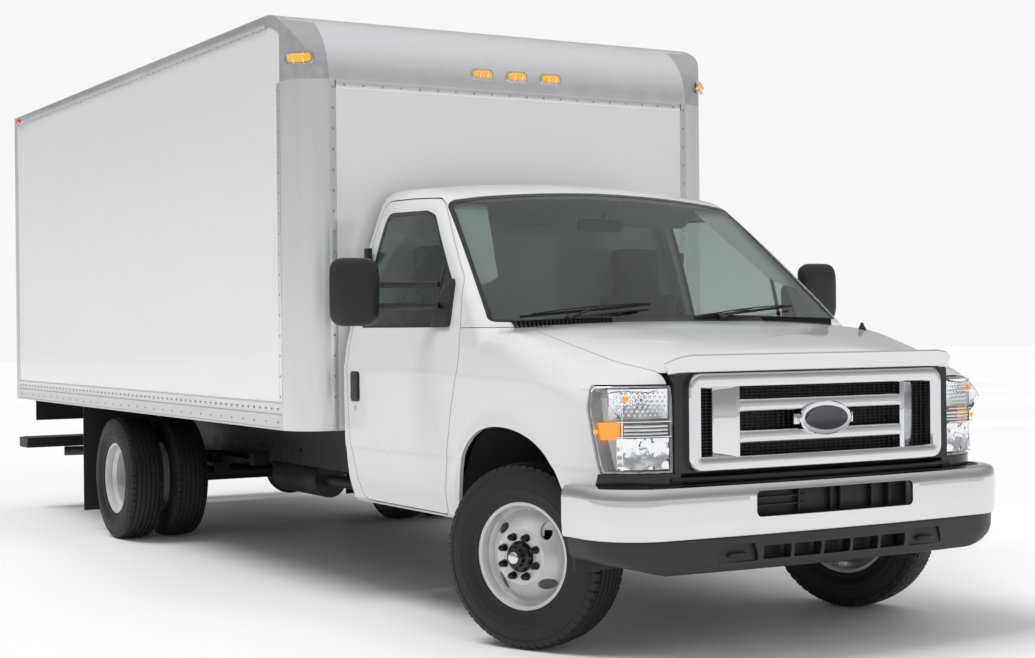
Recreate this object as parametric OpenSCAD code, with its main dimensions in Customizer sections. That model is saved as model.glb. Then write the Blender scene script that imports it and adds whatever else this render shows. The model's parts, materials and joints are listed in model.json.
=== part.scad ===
// Medium-duty box truck: a two-door forward cab on a ladder frame, with a rigid cargo body behind.
// Front faces -Y, the driver sits on the +X side, the ground is z = 0.
// Sub-parts are drawn with y = 0 at the front axle, and placed() centres the truck on its own length.

/* [Chassis] */
// Distance between the front and rear axles
wheelbase = 4470; // [4200:10:5400]
// Distance between the centres of the front tyres
front_track = 1763; // [1700:1:1820]
// Distance between the centres of the two pairs of rear tyres
rear_track = 1870; // [1840:1:1900]
// Distance between the two tyres of one pair
dual_spacing = 280; // [260:1:300]
// Outside width over the two frame rails
frame_w = 864; // [720:1:900]
// Height of the top of the frame rails above the ground
frame_top = 660; // [640:1:690]
// Depth of a frame rail
frame_depth = 168; // [140:1:180]
// Width of a frame rail's flanges
frame_flange = 64; // [50:1:70]
// Thickness of a frame rail's web and flanges
frame_t = 8; // [6:0.5:10]
// Radius of a drive shaft tube
shaft_r = 48; // [40:1:55]

/* [Wheels] */
// Outer diameter of every tyre
tyre_d = 744; // [720:1:770]
// Width of every tyre
tyre_w = 225; // [205:1:270]
// Diameter over the rim's flanges
rim_d = 440; // [420:1:450]
// Width of the rim over its flanges
rim_w = 178; // [160:1:190]
// Thickness of the rim and its disc
rim_t = 8; // [6:0.5:10]
// Diameter of the circle of wheel studs
stud_circle = 165.1; // [160:0.1:170]
// Number of wheel studs
studs = 8; // [6:1:10]
// Diameter of a wheel stud
stud_d = 14; // [12:1:16]
// Radius of a spindle in its hub
spindle_r = 30; // [24:1:34]
// Radial play of a spindle in its hub
running_play = 0.1; // [0.05:0.05:0.5]

/* [Steering] */
// Distance between the two kingpins
kingpin_gap = 1560; // [1540:1:1590]
// Angle that the front wheels stand at, turned to the left
steer_parked = 24; // [0:1:30]
// Length of a steering arm behind its kingpin
steer_arm = 120; // [105:1:130]
// Diameter of a tie rod pin
tie_pin_d = 20; // [16:1:24]
// Diameter of the tie rod
tie_rod_d = 32; // [26:1:38]
// Radius of the steering wheel's rim
steering_r = 195; // [180:1:205]

/* [Cab] */
// Width of the cab over its doors
cab_w = 2016; // [1960:1:2060]
// Distance from the front axle back to the cab's rear face
cab_back = 1500; // [1470:1:1510]
// Height of the cab's roof
roof_z = 1985; // [1960:1:2060]
// Height of the sills' lower edge
sill_z = 470; // [450:1:500]
// Thickness of the cab's roof, pillars and rear wall
cab_wall = 45; // [35:1:55]
// Thickness of the doors and the hood's and fenders' sides
door_t = 60; // [50:1:75]
// Gap along the doors' and hood's edges
shut_gap = 10; // [6:0.5:10]
// Thickness of the glass
glass_t = 5; // [4:0.5:8]
// Distance of the grille's face ahead of the front axle
grille_front = 780; // [765:1:800]

/* [Cargo body] */
// Outside width of the cargo body
body_w = 2438; // [2400:1:2500]
// Outside length of the cargo body
body_l = 5025; // [4600:5:5600]
// Distance from the front axle back to the cargo body's front wall
body_front = 1526; // [1520:1:1600]
// Height of the cargo body's lower edge
body_bottom = 798; // [790:1:830]
// Height of the cargo body's roof
body_top = 2805; // [2600:1:3400]
// Thickness of the walls
wall_t = 32; // [25:1:40]
// Thickness of the roof
roof_t = 36; // [30:1:45]
// Height of the load floor
floor_z = 905; // [895:1:925]
// Thickness of the load floor's planks
plank_t = 28; // [20:1:32]
// Radius of the two upright front corners
corner_r = 177; // [150:0.1:215]
// Radius of the front edge of the roof
nose_r = 339; // [280:1:380]
// Thickness of the rounded corner sheets
corner_t = 24; // [18:1:28]
// Height of the bottom rails
rail_h = 132; // [110:1:150]
// Height of the top rails
top_rail_h = 62; // [50:1:80]
// Thickness of the top and bottom rails
rail_t = 40; // [36:1:46]
// Width of the rear door opening
door_w = 2160; // [2080:5:2200]
// Height of the rear door opening
door_h = 1640; // [1500:5:1680]

/* [Hidden] */
$fn = 48;

axle_z = tyre_d / 2;
rail_x = frame_w / 2;
rail_in = rail_x - frame_flange;
frame_bottom = frame_top - frame_depth;
frame_front = -640;
half_cab = cab_w / 2;
half_body = body_w / 2;
body_rear = body_front + body_l;
step_depth = 210;
bumper_front = grille_front + 95;
mid_y = (body_rear + step_depth - bumper_front) / 2;
front_x = front_track / 2;
kingpin_x = kingpin_gap / 2;
dual_x = rear_track / 2;

// Heights of the cab's own lines
belt_z = 1105;
glass_z = 1285;
cowl_z = 1290;
floor_top = frame_top + 25;
hinge_y = 345;
hood_back = 20;

// Bumper and lamps
bumper_top = 690;
bumper_bottom = 500;
valance_bottom = 360;
lamp_bottom = 735;
lamp_top = 1065;
lamp_inner = 686;
grille_top = 1104;
grille_half = 636;

// ---- Helpers ----

// Centres the truck on its own length
module placed() {
    translate([0, -mid_y, 0]) children();
}

// A copy on each side of the truck
module both() {
    children();
    mirror([1, 0, 0]) children();
}

// The +X shape, mirrored to the right-hand side when side is -1
module on_side(side) {
    if (side > 0) children();
    else mirror([1, 0, 0]) children();
}

// A box from its lowest corner to its highest corner
module block(low, high) {
    translate(low) cube(high - low);
}

// An outline in the (y, z) plane, extruded along X from x0 to x1
module across(x0, x1) {
    translate([x0, 0, 0])
        rotate([90, 0, 90])
            linear_extrude(x1 - x0)
                children();
}

// An outline in the (x, z) plane, extruded along Y from y0 to y1
module along(y0, y1) {
    translate([0, y1, 0])
        rotate([90, 0, 0])
            linear_extrude(y1 - y0)
                children();
}

// An outline in the (x, y) plane, extruded up from z0 to z1
module upright(z0, z1) {
    translate([0, 0, z0])
        linear_extrude(z1 - z0)
            children();
}

// A round bar between two points
module bar(a, b, r) {
    d = b - a;
    length = norm(d);
    tilt = acos(d[2] / length);
    turn = atan2(d[1], d[0]);
    translate(a) rotate([0, tilt, turn]) cylinder(r = r, h = length);
}

// A round bar across the truck, centred on a point
module cross_bar(centre, r, length) {
    translate(centre) rotate([0, 90, 0]) cylinder(r = r, h = length, center = true);
}

// Points on an arc, from one angle to another
function arc(centre, r, from, to, steps) =
    [for (i = [0:steps]) centre + r * [cos(from + (to - from) * i / steps),
                                       sin(from + (to - from) * i / steps)]];

// An outline given for x >= 0, closed by its own mirror image
function mirrored(half) =
    concat(half, [for (i = [len(half) - 1:-1:0]) [-half[i][0], half[i][1]]]);

// ---- Cab outlines: each is drawn "inset" millimetres inside the outer skin ----

// Greenhouse and lower body across the truck, for x >= 0
function cab_section(inset, wall_inset) = mirrored([
    [half_cab - 53 - wall_inset, sill_z + inset],
    [half_cab - 18 - wall_inset, sill_z + 130],
    [half_cab - 5 - wall_inset, sill_z + 280],
    [half_cab - wall_inset, belt_z],
    [half_cab - 33 - wall_inset, glass_z],
    [half_cab - 113 - inset, 1600],
    [half_cab - 208 - inset, 1870],
    [half_cab - 250 - inset, 1925 - inset * 0.4],
    [half_cab - 330 - inset, roof_z - 34 - inset],
    [half_cab - 500, roof_z - 14 - inset],
    [220, roof_z - inset]
]);

// Side view of the cab behind the windshield
cab_side_points = [
    [390, sill_z], [cab_back - 100, sill_z], [cab_back - 18, sill_z + 280],
    [cab_back, 1125], [cab_back, roof_z + 20], [1180, roof_z + 20],
    [1000, roof_z - 8], [880, roof_z - 36], [800, roof_z - 66],
    [40, cowl_z - 10], [40, 1000], [300, 1000]
];

// The windshield is part of a large cylinder whose axis lies along its rake
rake_top = [800, 1919];
rake_low = [60, 1290];
rake_angle = atan2(rake_top[1] - rake_low[1], rake_top[0] - rake_low[0]);
glass_bend = 5650;

module rake_cylinder(inset) {
    n = [sin(rake_angle), -cos(rake_angle)];
    c = [rake_low[0], rake_low[1]] + n * glass_bend;
    translate([0, c[0], c[1]])
        rotate([rake_angle - 90, 0, 0])
            translate([0, 0, -600])
                cylinder(r = glass_bend - inset, h = 2400, $fn = 200);
}

// Whole outer form of the cab behind the fenders
module cab_form() {
    intersection() {
        across(-half_cab, half_cab) polygon(cab_side_points);
        along(0, cab_back) polygon(cab_section(0, 0));
        rake_cylinder(0);
    }
}

// Space inside the cab
module cab_space() {
    intersection() {
        block([-half_cab, 96, 400], [half_cab, cab_back - cab_wall, roof_z + 50]);
        along(0, cab_back) polygon(cab_section(cab_wall, door_t));
        rake_cylinder(cab_wall);
    }
}

// Side view of a door, grown by a gap
function door_outline(g) = [
    [530 - g, sill_z + 14 - g], [457 - g, 735], [404 - g, 948], [hinge_y - g, belt_z],
    [hinge_y + 7 - g, 1200], [440 - g, 1485], [836 - g, 1838 + g],
    [900 - g * 0.5, 1868 + g], [1390, 1884 + g], [1424 + g, 1850 + g],
    [1430 + g, belt_z], [1408 + g, 755], [1345 + g, sill_z + 14 - g]
];

// Side view of a door's window, grown by a rim
function window_outline(g) = [
    [470 - g, glass_z - g], [505 - g, 1462], [862 - g * 0.8, 1786], [905 - g * 0.4, 1812 + g],
    [1330, 1826 + g], [1366 + g, 1796], [1362 + g, 1500], [1358 + g, glass_z - g]
];

// Side view of a front wheel arch
function arch_outline(g) = concat(
    [[470 + g, 380], [395 + g, 560]],
    arc([0, 500], 385 + g, 12, 168, 10),
    [[-470 - g, 640], [-470 - g, 380]]
);

module door_side(side, g, x_in) {
    on_side(side) across(x_in, half_cab + 60) polygon(door_outline(g));
}

// ---- Nose: hood, fenders and lamps share one outer form ----

nose_section = mirrored([
    [half_cab - 53, sill_z - 200], [half_cab - 30, sill_z + 100], [half_cab - 5, sill_z + 280], [half_cab, belt_z - 30],
    [half_cab - 8, belt_z + 45], [half_cab - 30, belt_z + 110], [half_cab - 68, belt_z + 153],
    [half_cab - 128, belt_z + 180], [half_cab - 208, belt_z + 195], [half_cab - 408, belt_z + 207],
    [200, belt_z + 220]
]);
nose_slope = 10;
nose_corner_r = 255;

function nose_side(inset) = [
    [700, sill_z - inset], [700, 1400], [100, cowl_z + 12 - inset], [-250, 1268 - inset],
    [-500, 1225 - inset], [-640, 1188 - inset], [-710 + inset * 0.5, 1158 - inset],
    [-740 + inset, 1120 - inset], [-748 + inset, sill_z - inset]
];

function nose_plan(inset) = let (r = nose_corner_r - inset, e = half_cab - 20 - inset) mirrored(concat(
    [[half_cab - inset, 700], [half_cab - inset, -250]],
    arc([e - r, -493], r, 0, -76, 7),
    [[400, -762 + inset], [150, -768 + inset]]
));

module nose_form(inset) {
    intersection() {
        across(-half_cab, half_cab) polygon(nose_side(inset));
        upright(400, 1500) polygon(nose_plan(inset));
        translate([0, 100, -inset])
            multmatrix([[1, 0, 0, 0], [0, 1, 0, 0], [0, tan(nose_slope), 1, 0], [0, 0, 0, 1]])
                along(-1100, 600)
                    polygon(nose_section);
    }
}

// Plan of the hood
function hood_plan(g) = mirrored([
    [845 + g, hood_back + g], [825 + g, -300], [790 + g, -520], [735 + g, -640], [715 + g, -800]
]);

// ---- Chassis ----

module frame_rail() {
    difference() {
        block([rail_in, frame_front, frame_bottom], [rail_x, body_rear - 60, frame_top]);
        block([rail_in - 1, frame_front - 1, frame_bottom + frame_t],
              [rail_x - frame_t, body_rear, frame_top - frame_t]);
    }
}

// The fuel tank fills a share of the room behind the rear axle, between two cross members
tank_y = wheelbase + 560;
tank_l = (body_rear - tank_y) * 0.592;
strap_y = tank_l * 0.2;

cross_members = [frame_front + 30, 1350, 2250, 3250, tank_y - 99, tank_y + tank_l + 141, body_rear - 120];
cross_w = 60;

module chassis_frame() {
    color("#20221f") placed() difference() {
        union() {
            both() frame_rail();
            for (y = cross_members)
                block([-rail_in, y - cross_w / 2, frame_top - 52],
                      [rail_in, y + cross_w / 2, frame_top - 12]);
            // Spring hangers and front bumper brackets
            both() {
                for (y = [wheelbase - spring_half, wheelbase + spring_half])
                    block([rail_x, y - 35, spring_z - 10], [spring_x + 34, y + 35, spring_z + 60]);
                block([rail_in, -grille_front + 10, bumper_bottom + 15],
                      [rail_in + 12, frame_front, bumper_top - 40]);
            }
        }
        // Tow hitch bolt holes in the rails' lower flanges
        both() for (y = hitch_holes)
            translate([hitch_x, y, frame_bottom - 1]) cylinder(d = hitch_d, h = frame_t + 2);
    }
}

hitch_d = 14;
hitch_x = rail_in + 28;
hitch_holes = [body_rear - 350, body_rear - 230];

module engine_block() {
    color("#3a3b3c") placed() {
        block([-240, -420, 400], [240, 400, 980]);
        block([-150, 400, 470], [150, 1000, 740]);
        block([-110, 1000, 480], [110, 1260, 620]);
    }
}

module radiator() {
    color("#161718") placed() union() {
        block([-600, -660, bumper_bottom + 180], [600, -615, 1090]);
        block([-lamp_inner, -700, frame_top], [lamp_inner, -660, frame_top + 40]);
        block([-lamp_inner, -700, 1060], [lamp_inner, -660, 1096]);
        both() block([lamp_inner - 40, -700, frame_top], [lamp_inner, -660, 1096]);
    }
}

module fuel_tank() {
    color("#26282a") placed() union() {
        block([158 - rail_in, tank_y, 300], [rail_in - 14, tank_y + tank_l, 610]);
        for (y = [tank_y + strap_y, tank_y + tank_l - strap_y])
            block([150 - rail_in, y - 20, 292], [rail_in - 6, y + 20, 618]);
        block([-40, tank_y + strap_y - 20, 618], [40, tank_y + tank_l - strap_y + 20, 640]);
    }
}

// The pipe rises over the rear axle, then drops again on its way to the tail pipe
exhaust_r = 32;
exhaust_x = 78 - rail_in;
exhaust_over = wheelbase + 330;
exhaust_bend = body_rear - 500;
exhaust_drop = exhaust_over + (exhaust_bend - exhaust_over) * 0.48;
exhaust_route = [
    [exhaust_x, 470, 560], [exhaust_x, 900, 430], [exhaust_x, 3140, 400], [exhaust_x, 3940, 400],
    [exhaust_x, wheelbase - 320, 575],
    [exhaust_x, exhaust_over, 575], [exhaust_x, exhaust_drop, 430], [exhaust_x, exhaust_bend, 430],
    [-980, exhaust_bend + 160, 430]
];

module exhaust_system() {
    color("#7c756b") placed() union() {
        for (i = [0:len(exhaust_route) - 2])
            bar(exhaust_route[i], exhaust_route[i + 1], exhaust_r);
        for (i = [1:len(exhaust_route) - 2])
            translate(exhaust_route[i]) sphere(exhaust_r + 2);
        translate([exhaust_x, 3200, 400]) rotate([-90, 0, 0]) cylinder(r = 98, h = 640);
    }
}

shaft_joint = [0, 2780, 500];

module drive_shaft() {
    color("#2b2c2d") placed() union() {
        bar([0, 1264, 550], shaft_joint, shaft_r);
        bar(shaft_joint, [0, wheelbase - 212, axle_z + 23], shaft_r);
        translate(shaft_joint) sphere(shaft_r + 12);
    }
}

beam_z = axle_z - 12;
beam_h = 74;
beam_y = 34;
coil_x = 500;

// One of two crossed beams: its eye holds a kingpin, its far end hangs from the frame
module axle_beam() {
    difference() {
        union() {
            translate([kingpin_x, 0, beam_z - beam_h / 2]) cylinder(r = 40, h = beam_h);
            block([coil_x - 70, -34, beam_z - beam_h / 2 + 6], [kingpin_x - 20, 34, beam_z + beam_h / 2 - 6]);
            block([-330, 2, beam_z - beam_h / 2 + 6], [coil_x + 70, beam_y * 2 - 2, beam_z + beam_h / 2 - 6]);
            // Coil seat and coil up to the frame
            translate([coil_x, 0, beam_z + beam_h / 2 - 7]) cylinder(r = 72, h = 12);
            translate([coil_x, 0, beam_z + beam_h / 2]) cylinder(r = 62, h = frame_top - beam_z - 60);
        }
        translate([kingpin_x, 0, beam_z - beam_h]) cylinder(r = kingpin_r + running_play, h = beam_h * 2);
    }
}

kingpin_r = 17;

module front_axle_beams() {
    color("#2c2d2e") placed() {
        axle_beam();
        rotate([0, 0, 180]) axle_beam();
    }
}

axle_tube_r = 46;
diff_r = 158;

module rear_axle() {
    color("#2a2b2c") placed() union() {
        cross_bar([0, wheelbase, axle_z], axle_tube_r, 2 * (dual_x - 75));
        cross_bar([0, wheelbase, axle_z], spindle_r + 8, 2 * (dual_x + 112));
        translate([0, wheelbase, axle_z]) rotate([0, 0, 40]) sphere(diff_r);
        translate([0, wheelbase - 203, axle_z + 23]) rotate([-90, 0, 0]) cylinder(r = 70, h = 120);
        both() block([spring_x - 50, wheelbase - 60, axle_z], [spring_x + 50, wheelbase + 60, spring_low]);
    }
}

spring_x = rail_x + 62;
spring_half = 650;
spring_z = 470;
spring_low = 440;
leaf_t = 14;

// A stack of leaves: the main leaf reaches the hangers, and each lower one is shorter
module leaf_pack() {
    sag = spring_z - spring_low - 4 * leaf_t;
    across(spring_x - 38, spring_x + 38)
        translate([wheelbase, spring_low])
            union() {
                for (i = [0:3])
                    polygon([
                        [-spring_half + 150 * (3 - i), i * leaf_t], [spring_half - 150 * (3 - i), i * leaf_t],
                        [spring_half - 150 * (3 - i), (i + 1) * leaf_t], [-spring_half + 150 * (3 - i), (i + 1) * leaf_t]
                    ]);
            }
}

module rear_leaf_springs() {
    color("#242526") placed() difference() {
        both() leaf_pack();
        both() for (y = [wheelbase - spring_half, wheelbase + spring_half])
            block([rail_x - 1, y - 36, spring_z - 11], [spring_x + 60, y + 36, spring_z + 70]);
    }
}

// ---- Steering and wheels ----

// Turns a front corner about its kingpin to the parked angle
module steered(side) {
    translate([side * kingpin_x, 0, 0])
        rotate([0, 0, steer_parked])
            translate([-side * kingpin_x, 0, 0])
                children();
}

arm_z = axle_z - 70;
tie_z = arm_z - 18;
fork_gap = 6;

module knuckle(side) {
    color("#33353a") placed() steered(side) on_side(side) union() {
        // Kingpin and the fork lugs above and below the beam's eye
        translate([kingpin_x, 0, arm_z]) cylinder(r = kingpin_r, h = axle_z + 84 - arm_z);
        translate([kingpin_x, 0, beam_z + beam_h / 2 + fork_gap]) cylinder(r = 36, h = 26);
        translate([kingpin_x, 0, arm_z]) cylinder(r = 36, h = beam_z - beam_h / 2 - fork_gap - arm_z);
        block([kingpin_x, -30, beam_z + beam_h / 2 + fork_gap], [kingpin_x + 70, 30, beam_z + beam_h / 2 + fork_gap + 26]);
        block([kingpin_x, -30, arm_z], [kingpin_x + 70, 30, beam_z - beam_h / 2 - fork_gap]);
        block([kingpin_x + 46, -36, arm_z], [kingpin_x + 72, 36, beam_z + beam_h / 2 + fork_gap + 26]);
        // Spindle
        cross_bar([(kingpin_x + 60 + front_x + 78) / 2, 0, axle_z], spindle_r, front_x + 78 - kingpin_x - 60);
    }
    color("#33353a") placed() steered(side) union() {
        // Steering arm with the tie rod's pin
        block([side * kingpin_x - 16, 20, arm_z], [side * kingpin_x + 16, steer_arm, arm_z + 15]);
        translate([side * kingpin_x, steer_arm, arm_z]) cylinder(r = 24, h = 15);
        translate([side * kingpin_x, steer_arm, tie_z - tie_rod_d / 2 - 8]) cylinder(d = tie_pin_d, h = 50);
    }
}

module knuckle_right() knuckle(-1);
module knuckle_left() knuckle(1);

function tie_pin(side) = [
    side * kingpin_x - steer_arm * sin(steer_parked), steer_arm * cos(steer_parked), tie_z
];

module tie_rod() {
    color("#2f3133") placed() difference() {
        union() {
            bar(tie_pin(-1) + [26, 0, 0], tie_pin(1) - [26, 0, 0], tie_rod_d / 2);
            for (side = [-1, 1])
                translate(tie_pin(side) - [0, 0, tie_rod_d / 2]) cylinder(r = 28, h = tie_rod_d - 4);
        }
        for (side = [-1, 1])
            translate(tie_pin(side) - [0, 0, 40]) cylinder(r = tie_pin_d / 2 + running_play, h = 80);
    }
}

// Half section of a rim, (radius, offset along the axle): two flanges, a drop centre
module rim_profile() {
    h = rim_w / 2;
    r = rim_d / 2;
    polygon([
        [r, -h], [r, -h + 6], [r - 16, -h + 14], [r - 20, -h + 36], [r - 34, -h + 50], [r - 34, h - 50],
        [r - 20, h - 36], [r - 16, h - 14], [r, h - 6], [r, h], [r - 10, h], [r - 24, h - 12],
        [r - 28, h - 36], [r - 42, h - 54], [r - 42, -h + 54], [r - 28, -h + 36], [r - 24, -h + 12], [r - 10, -h]
    ]);
}

// A rim with its disc: "dish" is how far the hub face stands outboard of the rim's centre
module wheel(dish) {
    hole_r = 132;
    difference() {
        union() {
            rotate_extrude() rim_profile();
            rotate_extrude() polygon([
                [62, dish], [112, dish], [150, dish - 12], [rim_d / 2 - 40, dish - 60],
                [rim_d / 2 - 40, dish - 60 - rim_t * 1.6], [148, dish - 12 - rim_t * 1.4],
                [112, dish - rim_t], [62, dish - rim_t]
            ]);
        }
        for (i = [0:3])
            rotate([0, 0, 45 + 90 * i])
                for (d = [-8, 0, 8])
                    translate([hole_r + 14, d, dish - 90]) cylinder(r = 17, h = 120);
        for (i = [0:studs - 1])
            rotate([0, 0, 360 / studs * (i + 0.5)])
                translate([stud_circle / 2, 0, dish - 40]) cylinder(d = stud_d, h = 60);
    }
}

module tyre_ring() {
    h = tyre_w / 2;
    r = tyre_d / 2;
    rotate_extrude($fn = 96) polygon([
        [rim_d / 2 - 20, -rim_w / 2 + 36.5], [rim_d / 2 - 15.5, -rim_w / 2 + 14.5], [rim_d / 2 + 1, -rim_w / 2 + 5.5],
        [rim_d / 2 + 22, -h + 8], [rim_d / 2 + 62, -h], [r - 42, -h + 6], [r - 12, -h + 20], [r, -h + 40],
        [r, h - 40], [r - 12, h - 20], [r - 42, h - 6], [rim_d / 2 + 62, h], [rim_d / 2 + 22, h - 8],
        [rim_d / 2 + 1, rim_w / 2 - 5.5], [rim_d / 2 - 15.5, rim_w / 2 - 14.5], [rim_d / 2 - 20, rim_w / 2 - 36.5]
    ]);
}

// Places a shape drawn about +Z so that +Z points outboard at the given wheel centre
module outboard(side, x, y) {
    translate([side * x, y, axle_z]) rotate([0, side * 90, 0]) children();
}

front_dish = 62;
hub_len = 70;

module front_wheel(side) {
    color("#c9cbcd") placed() steered(side) outboard(side, front_x, 0) difference() {
        union() {
            wheel(front_dish);
            translate([0, 0, front_dish - rim_t]) cylinder(r = 62.5, h = rim_t);
            translate([0, 0, -18]) cylinder(r = 60, h = front_dish + hub_len - 44);
        }
        translate([0, 0, -60]) cylinder(r = spindle_r + running_play, h = 60 + 80);
    }
}

module front_tyre(side) {
    color("#1a1b1c") placed() steered(side) outboard(side, front_x, 0) tyre_ring();
}

module rear_wheels(side) {
    color("#c9cbcd") placed() outboard(side, dual_x, wheelbase) difference() {
        union() {
            translate([0, 0, dual_spacing / 2]) rotate([180, 0, 0]) wheel(dual_spacing / 2);
            translate([0, 0, -dual_spacing / 2]) wheel(dual_spacing / 2);
            translate([0, 0, -rim_t]) cylinder(r = 62.5, h = 2 * rim_t);
            translate([0, 0, -60]) cylinder(r = 66, h = 190);
        }
        translate([0, 0, -80]) cylinder(r = spindle_r + 8 + running_play, h = 80 + 115);
    }
}

module rear_tyres(side) {
    color("#1a1b1c") placed() for (d = [-1, 1])
        outboard(side, dual_x + d * dual_spacing / 2, wheelbase) tyre_ring();
}

module front_wheel_right() front_wheel(-1);
module front_wheel_left() front_wheel(1);
module front_tyre_right() front_tyre(-1);
module front_tyre_left() front_tyre(1);
module rear_wheels_right() rear_wheels(-1);
module rear_wheels_left() rear_wheels(1);
module rear_tyres_right() rear_tyres(-1);
module rear_tyres_left() rear_tyres(1);

// ---- Cab ----

module cab_shell() {
    color("white") placed() difference() {
        cab_form();
        cab_space();
        // Foot well and the space over the floor, down to the sills' inner faces
        block([-half_cab + 110, 300, 400], [half_cab - 110, cab_back + 1, floor_top]);
        both() {
            door_side(1, shut_gap, half_cab - 300);
            across(half_cab - 700, half_cab + 60) polygon(door_outline(-8));
        }
        // Windshield opening and the front of the hollow
        windshield_hole(0, 200);
        // Wheel arches
        both() across(500, half_cab + 60) polygon(arch_outline(20));
        // Room for the fenders' skins ahead of the doors
        both() block([half_cab - skin_in - 4, 0, 300], [half_cab + 1, hinge_y - shut_gap + 4, glass_z + 25]);
        // Engine cover opening
        block([-340, 0, 400], [340, 420, 1010]);
    }
}

// The windshield's outline seen along the rake's normal
module windshield_hole(grow, depth) {
    translate([0, rake_low[0], rake_low[1]])
        rotate([rake_angle, 0, 0])
            translate([0, 0, -depth])
                linear_extrude(depth * 2)
                    polygon(mirrored([
                        [890 + grow, 72 - grow], [905 + grow, 110], [762 + grow, 846],
                        [735 + grow, 872 + grow], [200, 905 + grow]
                    ]));
}

module windshield() {
    color([0.6, 0.7, 0.68, 0.45]) placed() intersection() {
        windshield_hole(-1.5, 190);
        difference() {
            rake_cylinder(6);
            rake_cylinder(6 + glass_t);
        }
    }
}

cover_half = 300;

module cab_floor() {
    color("#3b3d3f") placed() difference() {
        union() {
            block([-half_cab + 110, 420, frame_top], [half_cab - 110, cab_back - cab_wall, floor_top]);
            // Engine cover between the seats
            difference() {
                block([-cover_half, 440, floor_top - 1], [cover_half, 1060, 1000]);
                block([-cover_half + 25, 439, floor_top - 2], [cover_half - 25, 1035, 975]);
            }
        }
        block([-cover_half + 25, 400, frame_top - 1], [cover_half - 25, 1035, floor_top + 1]);
        both() across(500, half_cab) polygon(arch_outline(20));
    }
}

module fenders() {
    color("white") placed() difference() {
        nose_form(0);
        nose_form(28);
        upright(300, 1600) polygon(hood_plan(shut_gap));
        block([-half_cab - 1, 700, 300], [half_cab + 1, 900, 1600]);
        // Rear edge along the doors and the cab
        cab_clear();
        both() {
            across(600, half_cab + 60) polygon(arch_outline(0));
            door_side(1, shut_gap, half_cab - 300);
            block([lamp_inner - 3, -900, lamp_bottom - 3], [half_cab + 10, -520, lamp_top + 3]);
            // Open below the lamps, behind the bumper
            block([-1, -900, 300], [lamp_inner + 60, -500, lamp_top + 10]);
            block([-1, -900, 300], [half_cab + 10, -400, bumper_top + 2]);
        }
    }
}

// Everything from the cab's front face back, inside the fenders' skins
module cab_clear() {
    block([-half_cab - 1, hinge_y - shut_gap, 300], [half_cab + 1, 900, 1600]);
    block([-half_cab + skin_in, 30, 300], [half_cab - skin_in, 900, 1700]);
}

skin_in = 60;

module hood() {
    color("white") placed() difference() {
        intersection() {
            nose_form(0);
            upright(1000, 1600) polygon(hood_plan(0));
            block([-half_cab, -800, grille_top + 6], [half_cab, hood_back, 1600]);
        }
        nose_form(26);
    }
}

module grille() {
    bar_h = 40;
    color("#b9bcc0") placed() union() {
        difference() {
            block([-grille_half, -grille_front, lamp_bottom], [grille_half, -700, grille_top]);
            block([-grille_half + 45, -grille_front - 1, lamp_bottom + 42],
                  [grille_half - 45, -699, grille_top - 42]);
        }
        both() block([grille_half - 165, -grille_front, lamp_bottom + 40], [grille_half - 115, -700, grille_top - 40]);
        for (z = [0, 1])
            block([-grille_half + 120, -grille_front, lamp_bottom + 112 + z * 106],
                  [grille_half - 120, -715, lamp_bottom + 112 + bar_h + z * 106]);
        translate([0, -715, (lamp_bottom + grille_top) / 2]) rotate([90, 0, 0]) cylinder(r = 62, h = 75);
        for (z = [0:5])
            block([-grille_half + 40, -735, lamp_bottom + 66 + z * 44], [grille_half - 40, -725, lamp_bottom + 76 + z * 44]);
    }
}

module headlights() {
    color("#d8dde0") placed() difference() {
        intersection() {
            nose_form(0);
            both() block([lamp_inner, -900, lamp_bottom], [half_cab + 10, -523, lamp_top]);
        }
        nose_form(90);
    }
}

// Plan of a bumper that wraps round the corners, "inset" millimetres inside the outer face
function bumper_plan(inset) = let (r = 210 - inset, e = half_cab + 8 - inset) mirrored(concat(
    [[e, -470], [e, -560]],
    arc([e - r, -560], r, -6, -68, 6),
    [[600, -bumper_front + 38 + inset], [300, -bumper_front + 8 + inset], [90, -bumper_front + inset]]
));

module bumper_ring(inset, z0, z1, t) {
    difference() {
        upright(z0, z1) polygon(bumper_plan(inset));
        difference() {
            upright(z0 - 1, z1 + 1) polygon(concat(
                [[half_cab, 0], [-half_cab, 0]],
                [for (p = bumper_plan(inset + t)) [-p[0], p[1]]]
            ));
            block([-2000, -100, 0], [2000, 100, 2000]);
        }
    }
}

module front_bumper() {
    color("#d5d7da") placed() difference() {
        bumper_ring(0, bumper_bottom, bumper_top, 60);
        block([-390, -1000, bumper_bottom + 62], [390, -600, bumper_top - 32]);
        // Licence plate bracket holes, one pair below the slot
        for (x = [-plate_gap / 2, plate_gap / 2])
            translate([x, -bumper_front - 20, bumper_bottom + 30]) rotate([-90, 0, 0]) cylinder(d = plate_hole_d, h = 120);
    }
}

plate_gap = 178;
plate_hole_d = 6.5;

module bumper_valance() {
    color("#1d1e1f") placed() union() {
        difference() {
            bumper_ring(18, valance_bottom, bumper_bottom, 50);
            for (x = [-2:2])
                block([x * 112 - 48, -1000, valance_bottom + 50], [x * 112 + 48, -600, valance_bottom + 100]);
            both() block([450, -1000, valance_bottom + 46], [560, -600, valance_bottom + 104]);
        }
    }
}

module dashboard() {
    color("#6a6a72") placed() difference() {
        across(-half_cab + 130, half_cab - 130) polygon([
            [300, 1010], [300, 1235], [400, 1268], [520, 1262], [610, 1180], [600, 1040], [480, 1010]
        ]);
        across(-half_cab, half_cab) polygon(arch_outline(30));
        translate([0, -8, 0]) cab_wall_block();
    }
}

// Keeps the dashboard behind the windshield's inner face
module cab_wall_block() {
    difference() {
        block([-half_cab, 0, 1000], [half_cab, 900, 1500]);
        rake_cylinder(cab_wall + 20);
    }
}

seat_x = 560;

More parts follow.
